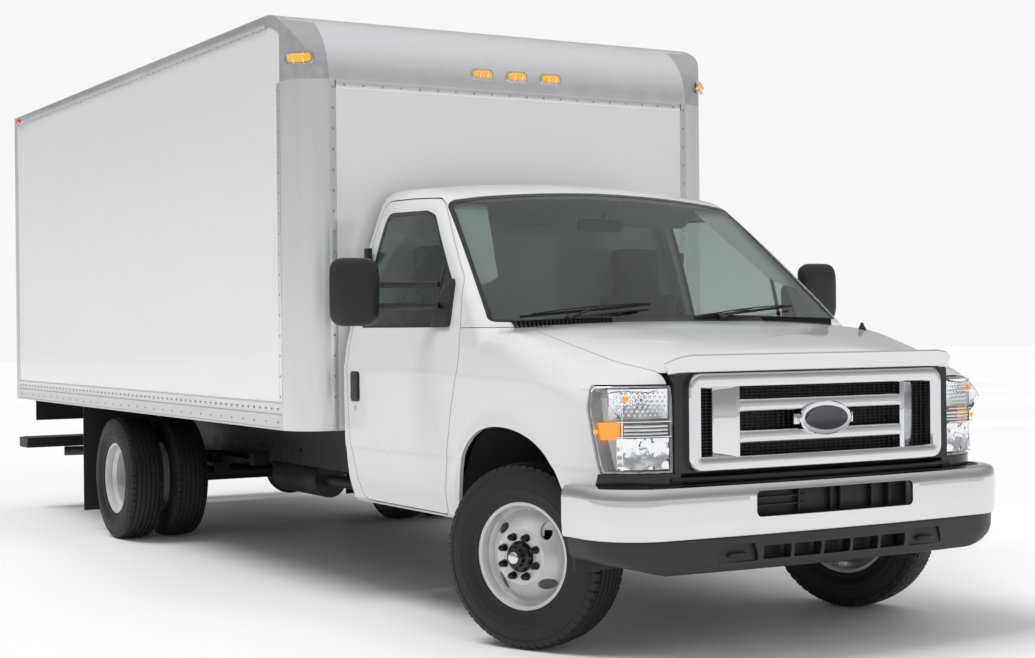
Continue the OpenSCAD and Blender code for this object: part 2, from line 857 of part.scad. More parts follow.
module seat() {
    translate([seat_x, 0, 0]) union() {
        block([-210, 840, floor_top], [210, 1200, 820]);
        block([-250, 790, 820], [250, 1260, 960]);
        across(-245, 245) polygon([[1170, 960], [1260, 960], [1400, 1560], [1405, 1660], [1360, 1690], [1300, 1660], [1285, 1560]]);
    }
}

module seats() {
    color("#4b4d52") placed() both() seat();
}

wheel_hub = [460, 640, 1205];
wheel_tilt = -40;

module steering_wheel() {
    color("#2a2b2d") placed() translate(wheel_hub) rotate([wheel_tilt, 0, 0]) union() {
        rotate_extrude() translate([steering_r - 15, 0]) circle(15);
        for (a = [0, 90, 180])
            rotate([0, 0, a + 180]) block([40, -14, -14], [steering_r - 16, 14, 4]);
        translate([0, 0, -34]) cylinder(r = 62, h = 46);
    }
}

// Depth of a door's lower edge
door_foot = 30;

// One door: the shell's own skin inside the door's outline, with its window cut
module door(side) {
    color("white") placed() union() {
        difference() {
            intersection() {
                cab_form();
                door_side(side, 0, half_cab - 300);
            }
            cab_space();
            on_side(side) across(half_cab - 400, half_cab + 60) polygon(window_outline(0));
            // The foot of the door is no deeper than its skin and a flange
            on_side(side) block([half_cab - 301, 300, sill_z], [half_cab - 53 - door_foot, cab_back, sill_z + 100]);
        }
        // Door handle
        on_side(side) block([half_cab - 8, 1290, 945], [half_cab + 10, 1385, 1082]);
    }
}

module door_right() door(-1);
module door_left() door(1);

module door_glass(side) {
    color([0.55, 0.66, 0.64, 0.45]) placed() intersection() {
        on_side(side) across(half_cab - 400, half_cab + 60) polygon(window_outline(-0.5));
        difference() {
            along(200, cab_back) polygon(cab_section(16, 16));
            along(199, cab_back + 1) polygon(cab_section(16 + glass_t, 16 + glass_t));
        }
    }
}

module door_glass_right() door_glass(-1);
module door_glass_left() door_glass(1);

mirror_low = 1290;
mirror_high = 1588;
mirror_in = 1165;
mirror_out = 1402;
mirror_y = 700;

module door_mirror(side) {
    color("#1b1c1d") placed() on_side(side) union() {
        translate([0, mirror_y, 0]) across(mirror_in, mirror_out) polygon([
            [0, mirror_low + 26], [22, mirror_low], [60, mirror_low], [78, mirror_low + 20],
            [78, mirror_high - 20], [60, mirror_high], [22, mirror_high], [0, mirror_high - 26]
        ]);
        for (z = [mirror_low + 60, mirror_high - 95])
            bar([mirror_in + 30, mirror_y + 40, z], [990, 500, z], 15);
    }
}

// The arms end on the door's skin
module mirror_right() mirror_trimmed(-1);
module mirror_left() mirror_trimmed(1);

module mirror_trimmed(side) {
    difference() {
        door_mirror(side);
        placed() cab_form();
    }
}

// ---- Cargo body ----

// Plan of the body's outside with its two rounded front corners
function body_plan(inset) = mirrored(concat(
    [[half_body - inset, body_rear]],
    arc([half_body - corner_r, body_front + corner_r], corner_r - inset, 0, -90, 10)
));

// Side view of the body's outside with its rounded front top edge
function body_side(inset) = concat(
    [[body_rear, body_bottom], [body_rear, body_top - inset]],
    arc([body_front + nose_r, body_top - nose_r], nose_r - inset, 90, 180, 12),
    [[body_front + inset, body_bottom]]
);

corner_x = half_body - corner_r;
corner_y = body_front + corner_r;
cap_z = body_top - nose_r;
rear_post = 70;
frame_y = body_rear - rear_post;

module box_floor() {
    color("#8a6f4d") placed() union() {
        intersection() {
            block([-half_body, body_front + corner_t, floor_z - plank_t], [half_body, frame_y, floor_z]);
            upright(0, floor_z + 1) polygon(body_plan(rail_t));
        }
        // Cross members under the planks, and two long sills on the frame
        for (i = [0:11])
            block([-half_body + rail_t, corner_y + 60 + i * 400, body_bottom + 4],
                  [half_body - rail_t, corner_y + 110 + i * 400, floor_z - plank_t]);
        both() block([rail_in, cab_back + 60, frame_top], [rail_x, frame_y, body_bottom + 4]);
    }
}

module box_side(side) {
    color("#e3e5e7") placed() on_side(side)
        block([half_body - wall_t - 4, corner_y, body_bottom + rail_h],
              [half_body - 4, frame_y, body_top - top_rail_h]);
}

module box_side_right() side_trimmed(-1);
module box_side_left() side_trimmed(1);

module side_trimmed(side) {
    intersection() {
        box_side(side);
        placed() across(-half_body, half_body) polygon(body_side(top_rail_h));
    }
}

module box_roof() {
    color("#dfe1e3") placed() block(
        [-half_body + rail_t, body_front + nose_r, body_top - roof_t],
        [half_body - rail_t, frame_y, body_top - 6]);
}

module box_front_wall() {
    color("#e6e8ea") placed() block(
        [-corner_x, body_front, body_bottom], [corner_x, body_front + corner_t, cap_z]);
}

// Upright corner sheets and the rounded roof edge between the two caps
module box_corner_sheets() {
    color("#c7cacd") placed() {
        both() intersection() {
            block([corner_x, body_front, body_bottom], [half_body, corner_y, cap_z]);
            translate([corner_x, corner_y, 0]) difference() {
                cylinder(r = corner_r, h = body_top);
                translate([0, 0, -1]) cylinder(r = corner_r - corner_t, h = body_top + 2);
            }
        }
        intersection() {
            union() {
                block([-corner_x, body_front, cap_z], [corner_x, corner_y + 1, body_top]);
                block([-half_body + rail_t, corner_y, cap_z], [half_body - rail_t, body_front + nose_r, body_top]);
            }
            difference() {
                cross_bar([0, body_front + nose_r, cap_z], nose_r, body_w);
                cross_bar([0, body_front + nose_r, cap_z], nose_r - corner_t, body_w + 2);
            }
        }
    }
}

module box_corner_caps() {
    color("#b4b7b9") placed() both() difference() {
        intersection() {
            block([corner_x, body_front, cap_z], [half_body, corner_y, body_top]);
            upright(cap_z, body_top) polygon(body_plan(0));
            across(0, half_body) polygon(body_side(0));
        }
        intersection() {
            upright(cap_z - 1, body_top) polygon(body_plan(corner_t));
            across(0, half_body) polygon(body_side(corner_t));
        }
    }
}

module box_rails() {
    color("#cdd0d2") placed() {
        both() {
            block([half_body - rail_t, corner_y, body_bottom], [half_body, frame_y, floor_z]);
            block([half_body - wall_t - 4, corner_y, floor_z], [half_body, frame_y, body_bottom + rail_h]);
            // Top rail, following the rounded front edge
            intersection() {
                block([half_body - rail_t, corner_y, cap_z], [half_body, frame_y, body_top]);
                difference() {
                    across(0, half_body) polygon(body_side(0));
                    translate([0, -1, 0]) across(0, half_body + 1) polygon(body_side(top_rail_h));
                }
            }
        }
    }
}

module rear_door_frame() {
    color("#d9dbdd") placed() difference() {
        block([-half_body, frame_y, body_bottom], [half_body, body_rear, body_top]);
        block([-door_w / 2, frame_y - 1, floor_z], [door_w / 2, body_rear + 1, floor_z + door_h]);
        block([-door_w / 2 - 30, frame_y - 1, floor_z], [door_w / 2 + 30, frame_y + 40, floor_z + door_h + 40]);
    }
}

panel_count = 6;

module rear_door() {
    panel_h = (door_h + 30) / panel_count;
    color("#e4e6e8") placed() union() {
        for (i = [0:panel_count - 1])
            block([-door_w / 2 - 22, frame_y + 8, floor_z + i * panel_h + 2],
                  [door_w / 2 + 22, frame_y + 38, floor_z + (i + 1) * panel_h - 2]);
        block([-door_w / 2 - 22, frame_y + 12, floor_z + 1], [door_w / 2 + 22, frame_y + 30, floor_z + door_h + 27]);
        block([-120, frame_y + 37, floor_z + 110], [120, frame_y + 52, floor_z + 170]);
    }
}

step_top = 510;
step_t = 70;

module step_bumper() {
    color("#26282a") placed() difference() {
        union() {
            block([-1150, body_rear, step_top - step_t], [1150, body_rear + step_depth, step_top]);
            // Apron under the sill, and two brackets on the frame
            block([-1100, body_rear - 60, step_top + 130], [1100, body_rear - 52, body_bottom]);
            both() block([rail_x + 2, body_rear - 60, step_top - step_t], [rail_x + 62, body_rear, body_bottom]);
        }
        block([-1130, body_rear + 20, step_top - step_t - 1], [1130, body_rear + step_depth - 20, step_top - 12]);
    }
}

flap_y = wheelbase + 610;

module mudflaps() {
    color("#18191a") placed() both()
        block([dual_x - dual_spacing / 2 - tyre_w / 2, flap_y, 120], [half_body - rail_t - 2, flap_y + 8, body_bottom]);
}

lamp_gap = 212;

module lamps() {
    color("#ff9a1f") placed() {
        // Three centre lamps and one on each corner cap
        for (i = [-1:1])
            block([i * lamp_gap - 62, body_front - 22, body_top - 272], [i * lamp_gap + 62, body_front + 6, body_top - 240]);
        both() translate([corner_x, corner_y, cap_z + 105]) rotate([0, 0, -45])
            translate([corner_r + 0.3, -62, -16]) cube([28, 124, 32]);
        // Tail lamps in the rear posts, and the red upper ones
        both() for (z = [body_bottom + 26, body_bottom + 190])
            block([door_w / 2 + 34, body_rear, z], [half_body - 12, body_rear + 22, z + 84]);
        both() block([half_body, body_rear - 260, body_top - 50], [half_body + 14, body_rear - 90, body_top - 16]);
    }
}

chassis_frame();
engine_block();
radiator();
fuel_tank();
exhaust_system();
drive_shaft();
front_axle_beams();
rear_axle();
rear_leaf_springs();
knuckle_right();
knuckle_left();
tie_rod();
front_wheel_right();
front_wheel_left();
front_tyre_right();
front_tyre_left();
rear_wheels_right();
rear_wheels_left();
rear_tyres_right();
rear_tyres_left();
cab_shell();
cab_floor();
fenders();
hood();
grille();
headlights();
front_bumper();
bumper_valance();
windshield();
dashboard();
seats();
steering_wheel();
door_right();
door_left();
door_glass_right();
door_glass_left();
mirror_right();
mirror_left();
box_floor();
box_side_right();
box_side_left();
box_roof();
box_front_wall();
box_corner_sheets();
box_corner_caps();
box_rails();
rear_door_frame();
rear_door();
step_bumper();
mudflaps();
lamps();
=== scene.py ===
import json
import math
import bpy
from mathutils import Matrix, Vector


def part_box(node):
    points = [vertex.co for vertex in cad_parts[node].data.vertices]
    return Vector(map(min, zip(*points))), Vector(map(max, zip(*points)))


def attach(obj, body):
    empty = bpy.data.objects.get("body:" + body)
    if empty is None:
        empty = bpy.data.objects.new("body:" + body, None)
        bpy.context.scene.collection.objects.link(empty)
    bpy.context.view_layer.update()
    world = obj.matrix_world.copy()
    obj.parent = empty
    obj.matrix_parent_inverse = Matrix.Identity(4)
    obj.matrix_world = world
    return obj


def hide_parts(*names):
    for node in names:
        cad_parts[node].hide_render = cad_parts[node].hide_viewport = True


bl_info = {
    "name": "Box Truck Finish",
    "version": (1, 0, 0),
    "blender": (4, 5, 0),
    "location": "3D View > Sidebar > Box Truck",
    "description": "Builds the finished cab, body, wheels and cabin of a box truck on its CAD frame",
    "category": "Object",
}

import bmesh
import bpy
import numpy as np
from bpy.props import FloatProperty, FloatVectorProperty, PointerProperty
from mathutils import Matrix, Vector

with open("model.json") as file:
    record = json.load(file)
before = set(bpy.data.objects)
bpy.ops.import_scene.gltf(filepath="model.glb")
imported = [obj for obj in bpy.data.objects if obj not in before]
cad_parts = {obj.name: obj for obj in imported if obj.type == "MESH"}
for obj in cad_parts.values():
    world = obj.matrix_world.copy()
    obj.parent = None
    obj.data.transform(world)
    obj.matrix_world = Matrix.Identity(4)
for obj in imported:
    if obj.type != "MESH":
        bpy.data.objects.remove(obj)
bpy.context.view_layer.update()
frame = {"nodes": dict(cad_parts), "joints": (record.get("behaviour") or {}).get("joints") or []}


def joint(name):
    return next(j for j in frame["joints"] if j["name"] == name)


# Every size below is in metres. Lengths along the truck are taken from the front axle.
AXLE = joint("steer_right")["pos_m"][1]
SIDES = ((-1, "right"), (1, "left"))


# ---------------------------------------------------------------- mesh tools


def curve_table(*pairs):
    """A smooth curve through (position, value) pairs that never overshoots them."""
    x = np.array([p[0] for p in pairs], float)
    y = np.array([p[1] for p in pairs], float)
    step = np.diff(x)
    slope = np.diff(y) / step
    grade = np.zeros(len(x))
    grade[0], grade[-1] = slope[0], slope[-1]
    for i in range(1, len(x) - 1):
        if slope[i - 1] * slope[i] > 0:
            a = 2 * step[i] + step[i - 1]
            b = step[i] + 2 * step[i - 1]
            grade[i] = (a + b) / (a / slope[i - 1] + b / slope[i])

    def value(at):
        at = np.clip(np.asarray(at, float), x[0], x[-1])
        i = np.clip(np.searchsorted(x, at) - 1, 0, len(x) - 2)
        t = (at - x[i]) / step[i]
        return (
            y[i] * (1 + 2 * t) * (1 - t) ** 2
            + y[i + 1] * t * t * (3 - 2 * t)
            + step[i] * (grade[i] * t * (1 - t) ** 2 - grade[i + 1] * t * t * (1 - t))
        )

    return value


def smoothed(points, each=8, closed=False):
    """A curve through the points, with each span cut into that many steps."""
    p = np.array(points, float)
    n = len(p)
    spans = n if closed else n - 1
    out = []
    for i in range(spans):
        if closed:
            a, b, c, d = p[i - 1], p[i], p[(i + 1) % n], p[(i + 2) % n]
        else:
            b, c = p[i], p[i + 1]
            a = p[i - 1] if i else 2 * b - c
            d = p[i + 2] if i + 2 < n else 2 * c - b
        for k in range(each):
            t = k / each
            out.append(
                0.5
                * (
                    2 * b
                    + (c - a) * t
                    + (2 * a - 5 * b + 4 * c - d) * t * t
                    + (3 * b - a - 3 * c + d) * t**3
                )
            )
    if not closed:
        out.append(p[-1])
    return np.array(out)


def rounded(points, radius, steps=6):
    """A closed outline with its corners rounded; radius is one number or one a corner."""
    p = np.array(points, float)
    n = len(p)
    radii = [radius] * n if np.isscalar(radius) else list(radius)
    out = []
    for i in range(n):
        a, b, c = p[i - 1], p[i], p[(i + 1) % n]
        ua = (a - b) / np.linalg.norm(a - b)
        uc = (c - b) / np.linalg.norm(c - b)
        half = 0.5 * math.acos(float(np.clip(ua @ uc, -1, 1)))
        if radii[i] <= 0 or half > 1.56:
            out.append(b)
            continue
        reach = min(radii[i] / math.tan(half), 0.48 * np.linalg.norm(a - b), 0.48 * np.linalg.norm(c - b))
        s, e = b + ua * reach, b + uc * reach
        for k in range(steps + 1):
            t = k / steps
            out.append((1 - t) ** 2 * s + 2 * t * (1 - t) * (b * 0.86 + (s + e) * 0.07) + t * t * e)
    return np.array(out)


def grown(outline, by):
    """A closed outline moved outwards by a distance, or inwards if it is negative."""
    p = np.array(outline, float)
    area = 0.5 * np.sum(p[:, 0] * np.roll(p[:, 1], -1) - np.roll(p[:, 0], -1) * p[:, 1])
    ahead = np.roll(p, -1, 0) - p
    behind = p - np.roll(p, 1, 0)
    ahead /= np.linalg.norm(ahead, axis=1)[:, None] + 1e-12
    behind /= np.linalg.norm(behind, axis=1)[:, None] + 1e-12
    run = ahead + behind
    run /= np.linalg.norm(run, axis=1)[:, None] + 1e-12
    normal = np.stack([run[:, 1], -run[:, 0]], 1) * (1 if area > 0 else -1)
    stretch = 1 / np.clip(np.sum(run * ahead, 1), 0.5, 1)
    return p + normal * (by * stretch)[:, None]


def box_outline(width, height, radius, steps=5, centre=(0, 0)):
    """A rounded rectangle round its centre."""
    w, h = width / 2, height / 2
    corners = np.array([(w, -h), (w, h), (-w, h), (-w, -h)]) + np.array(centre)
    return rounded(corners, radius, steps)


def raw(name, points, faces, shift=True):
    """A bare mesh object from points that are measured from the front axle."""
    p = np.array(points, float)
    if shift:
        p = p + np.array([0, AXLE, 0])
    data = bpy.data.meshes.new(name)
    data.from_pydata(p.tolist(), [], [list(map(int, f)) for f in faces])
    data.validate()
    thing = bpy.data.objects.new(name, data)
    bpy.context.scene.collection.objects.link(thing)
    return thing


def sheet_faces(rows, cols, wrap_rows=False, wrap_cols=False, start=0, flip=False):
    """The four-sided faces of a grid of points."""
    faces = []
    for i in range(rows if wrap_rows else rows - 1):
        for j in range(cols if wrap_cols else cols - 1):
            a = start + i * cols + j
            b = start + i * cols + (j + 1) % cols
            c = start + ((i + 1) % rows) * cols + (j + 1) % cols
            d = start + ((i + 1) % rows) * cols + j
            faces.append((a, d, c, b) if flip else (a, b, c, d))
    return faces


def joined(parts):
    """One list of points and faces from several."""
    points, faces = [], []
    for p, f in parts:
        n = len(points)
        points.extend(np.array(p, float).reshape(-1, 3).tolist())
        faces.extend([tuple(i + n for i in face) for face in f])
    return points, faces


def swept(path, section, closed=False, up=(0, 0, 1), scale=None):
    """A solid bar: a closed section carried along a path. Section is (sideways, up) pairs."""
    path, section = np.array(path, float), np.array(section, float)
    n, m = len(path), len(section)
    if closed:
        tangent = np.roll(path, -1, 0) - np.roll(path, 1, 0)
    else:
        tangent = np.gradient(path, axis=0)
    tangent /= np.linalg.norm(tangent, axis=1)[:, None]
    side = np.cross(tangent, np.array(up, float))
    side /= np.linalg.norm(side, axis=1)[:, None] + 1e-12
    lift = np.cross(side, tangent)
    s = np.ones(n) if scale is None else np.array(scale, float)
    points = (
        path[:, None]
        + side[:, None] * section[None, :, 0:1] * s[:, None, None]
        + lift[:, None] * section[None, :, 1:2] * s[:, None, None]
    )
    faces = sheet_faces(n, m, wrap_rows=closed, wrap_cols=True)
    if not closed:
        faces.append(tuple(range(m - 1, -1, -1)))
        faces.append(tuple((n - 1) * m + j for j in range(m)))
    return points.reshape(-1, 3), faces


def turned(profile, count=64, centre=(0, 0, 0), axis=(1, 0, 0), closed=False):
    """A body of revolution: (radius, distance along the axis) pairs turned about the axis."""
    axis = Vector(axis).normalized()
    across = axis.cross(Vector((0, 0, 1)))
    if across.length < 1e-3:
        across = axis.cross(Vector((0, 1, 0)))
    across.normalize()
    other = np.array(axis.cross(across))
    across, axis, centre = np.array(across), np.array(axis), np.array(centre, float)
    profile = np.array(profile, float)
    angle = np.arange(count) * 2 * math.pi / count
    ring = np.cos(angle)[:, None] * across + np.sin(angle)[:, None] * other
    points = centre + ring[:, None] * profile[None, :, 0:1] + axis * profile[None, :, 1:2]
    faces = sheet_faces(count, len(profile), wrap_rows=True, wrap_cols=closed)
    if not closed:
        faces.append(tuple(i * len(profile) for i in range(count)))
        faces.append(tuple(i * len(profile) + len(profile) - 1 for i in range(count - 1, -1, -1)))
    return points.reshape(-1, 3), faces


def rod(start, end, radius, count=16, bevel=0.0):
    """A round bar between two points, with a small bevel at both ends."""
    start, end = np.array(start, float), np.array(end, float)
    length = float(np.linalg.norm(end - start))
    b = min(bevel, radius * 0.6, length / 3)
    profile = [(1e-4, 0), (radius - b, 0), (radius, b), (radius, length - b), (radius - b, length),
               (1e-4, length)]
    return turned(profile, count, start, end - start)


def extruded(outline, low, high, axis="x"):
    """A prism: a closed outline carried along an axis. The outline is (y, z), (x, z) or (x, y)."""
    o = np.array(outline, float)
    n = len(o)
    place = {"x": (1, 2, 0), "y": (0, 2, 1), "z": (0, 1, 2)}[axis]
    points = np.zeros((2 * n, 3))
    points[:, place[0]] = np.tile(o[:, 0], 2)
    points[:, place[1]] = np.tile(o[:, 1], 2)
    points[:n, place[2]] = low
    points[n:, place[2]] = high
    faces = [(i, (i + 1) % n, n + (i + 1) % n, n + i) for i in range(n)]
    faces += [tuple(range(n - 1, -1, -1)), tuple(range(n, 2 * n))]
    return points, faces


def block(low, high, radius=0.0):
    """A box between two corners, rounded about the upright axis if a radius is given."""
    low, high = np.array(low, float), np.array(high, float)
    mid, size = (low + high) / 2, high - low
    outline = (
        box_outline(size[0], size[1], radius, 4, mid[:2])
        if radius
        else np.array([(low[0], low[1]), (high[0], low[1]), (high[0], high[1]), (low[0], high[1])])
    )
    return extruded(outline, low[2], high[2], "z")


def outward(thing):
    """Turns the faces of a closed mesh so that they look outwards."""
    work = bmesh.new()
    work.from_mesh(thing.data)
    bmesh.ops.recalc_face_normals(work, faces=work.faces)
    if work.calc_volume(signed=True) < 0:
        bmesh.ops.reverse_faces(work, faces=work.faces)
    work.to_mesh(thing.data)
    work.free()
    return thing


def solid(name, parts, shift=True):
    """A closed mesh object from one or several (points, faces) parts."""
    if isinstance(parts, tuple) and len(parts) == 2 and not isinstance(parts[0], tuple):
        parts = [parts]
    points, faces = joined(parts)
    return outward(raw(name, points, faces, shift))


def settle(thing):
    """Applies an object's modifiers to its mesh."""
    depsgraph = bpy.context.evaluated_depsgraph_get()
    data = bpy.data.meshes.new_from_object(thing.evaluated_get(depsgraph))
    thing.modifiers.clear()
    old = thing.data
    thing.data = data
    bpy.data.meshes.remove(old)
    return thing


def cut(thing, *tools, how="DIFFERENCE", keep=False):
    """Cuts tools out of a solid, or keeps only what they share, or joins them."""
    for tool in tools:
        work = thing.modifiers.new("cut", "BOOLEAN")
        work.operation, work.solver, work.object = how, "MANIFOLD", tool
        settle(thing)
        if not keep:
            bpy.data.objects.remove(tool)
    return thing


def join(thing, *others):
    """Adds other meshes to a piece's mesh."""
    work = bmesh.new()
    work.from_mesh(thing.data)
    for other in others:
        work.from_mesh(other.data)
        bpy.data.objects.remove(other)
    work.to_mesh(thing.data)
    work.free()
    return thing


def soften(thing, width, steps=2, angle=30):
    """Rounds the sharp edges of a mesh."""
    work = thing.modifiers.new("soften", "BEVEL")
    work.width, work.segments, work.limit_method = width, steps, "ANGLE"
    work.angle_limit = math.radians(angle)
    work.harden_normals = False
    return settle(thing)


def copy_of(thing, name):
    """A second object with its own mesh."""
    other = thing.copy()
    other.data = thing.data.copy()
    other.name = name
    bpy.context.scene.collection.objects.link(other)
    return other


def mirrored(thing, name):
    """The same piece on the other side of the truck."""
    other = copy_of(thing, name)
    other.data.transform(Matrix.Diagonal((-1, 1, 1, 1)))
    other.data.flip_normals()
    return other


def finish_piece(thing, finishes, body, angle=35, stands_for=(), smooth=True):
    """Gives a piece its finish and edges, and fixes it to the body it moves with."""
    finishes = finishes if isinstance(finishes, (list, tuple)) else [finishes]
    thing.data.materials.clear()
    for finish in finishes:
        thing.data.materials.append(finish)
    if smooth:
        thing.data.shade_smooth()
        thing.data.set_sharp_from_angle(angle=math.radians(angle))
    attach(thing, body)
    if stands_for:
        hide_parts(*stands_for)
    return thing


def piece(name, parts, finishes, body, angle=35, stands_for=(), bevel=0.0, steps=2):
    """A finished closed piece from (points, faces) parts."""
    thing = solid(name, parts)
    if bevel:
        soften(thing, bevel, steps)
    return finish_piece(thing, finishes, body, angle, stands_for)


# ---------------------------------------------------------------- finishes


def finish(name, colour, rough, metal=0.0, coat=0.0, vary=0.06, rough_vary=0.08, scale=6.0,
           bump=0.0, bump_scale=300.0, stretch=(1, 1, 1), **sockets):
    """A node-based finish: a base colour that varies a little, uneven roughness and a fine surface."""
    m = bpy.data.materials.new(name)
    m.use_nodes = True
    n, link = m.node_tree.nodes, m.node_tree.links
    shader = n["Principled BSDF"]
    coords = n.new("ShaderNodeTexCoord")
    mapping = n.new("ShaderNodeMapping")
    mapping.inputs["Scale"].default_value = stretch
    link.new(coords.outputs["Object"], mapping.inputs["Vector"])
    cloud = n.new("ShaderNodeTexNoise")
    cloud.inputs["Scale"].default_value = scale
    cloud.inputs["Detail"].default_value = 5
    link.new(mapping.outputs["Vector"], cloud.inputs["Vector"])
    ramp = n.new("ShaderNodeValToRGB")
    low = [max(0.0, c * (1 - vary)) for c in colour]
    high = [min(1.0, c * (1 + vary)) for c in colour]
    ramp.color_ramp.elements[0].position, ramp.color_ramp.elements[0].color = 0.3, (*low, 1)
    ramp.color_ramp.elements[1].position, ramp.color_ramp.elements[1].color = 0.7, (*high, 1)
    link.new(cloud.outputs["Fac"], ramp.inputs["Fac"])
    link.new(ramp.outputs["Color"], shader.inputs["Base Color"])
    spread = n.new("ShaderNodeMapRange")
    spread.inputs["From Min"].default_value, spread.inputs["From Max"].default_value = 0.3, 0.7
    spread.inputs["To Min"].default_value = max(0.0, rough - rough_vary)
    spread.inputs["To Max"].default_value = min(1.0, rough + rough_vary)
    link.new(cloud.outputs["Fac"], spread.inputs["Value"])
    link.new(spread.outputs["Result"], shader.inputs["Roughness"])
    shader.inputs["Metallic"].default_value = metal
    shader.inputs["Coat Weight"].default_value = coat
    if coat:
        shader.inputs["Coat Roughness"].default_value = 0.03
    for socket, value in sockets.items():
        shader.inputs[socket.replace("_", " ")].default_value = value
    if bump:
        grain = n.new("ShaderNodeTexNoise")
        grain.inputs["Scale"].default_value = bump_scale
        grain.inputs["Detail"].default_value = 3
        link.new(mapping.outputs["Vector"], grain.inputs["Vector"])
        relief = n.new("ShaderNodeBump")
        relief.inputs["Strength"].default_value = bump
        relief.inputs["Distance"].default_value = 0.001
        link.new(grain.outputs["Fac"], relief.inputs["Height"])
        link.new(relief.outputs["Normal"], shader.inputs["Normal"])
    return m


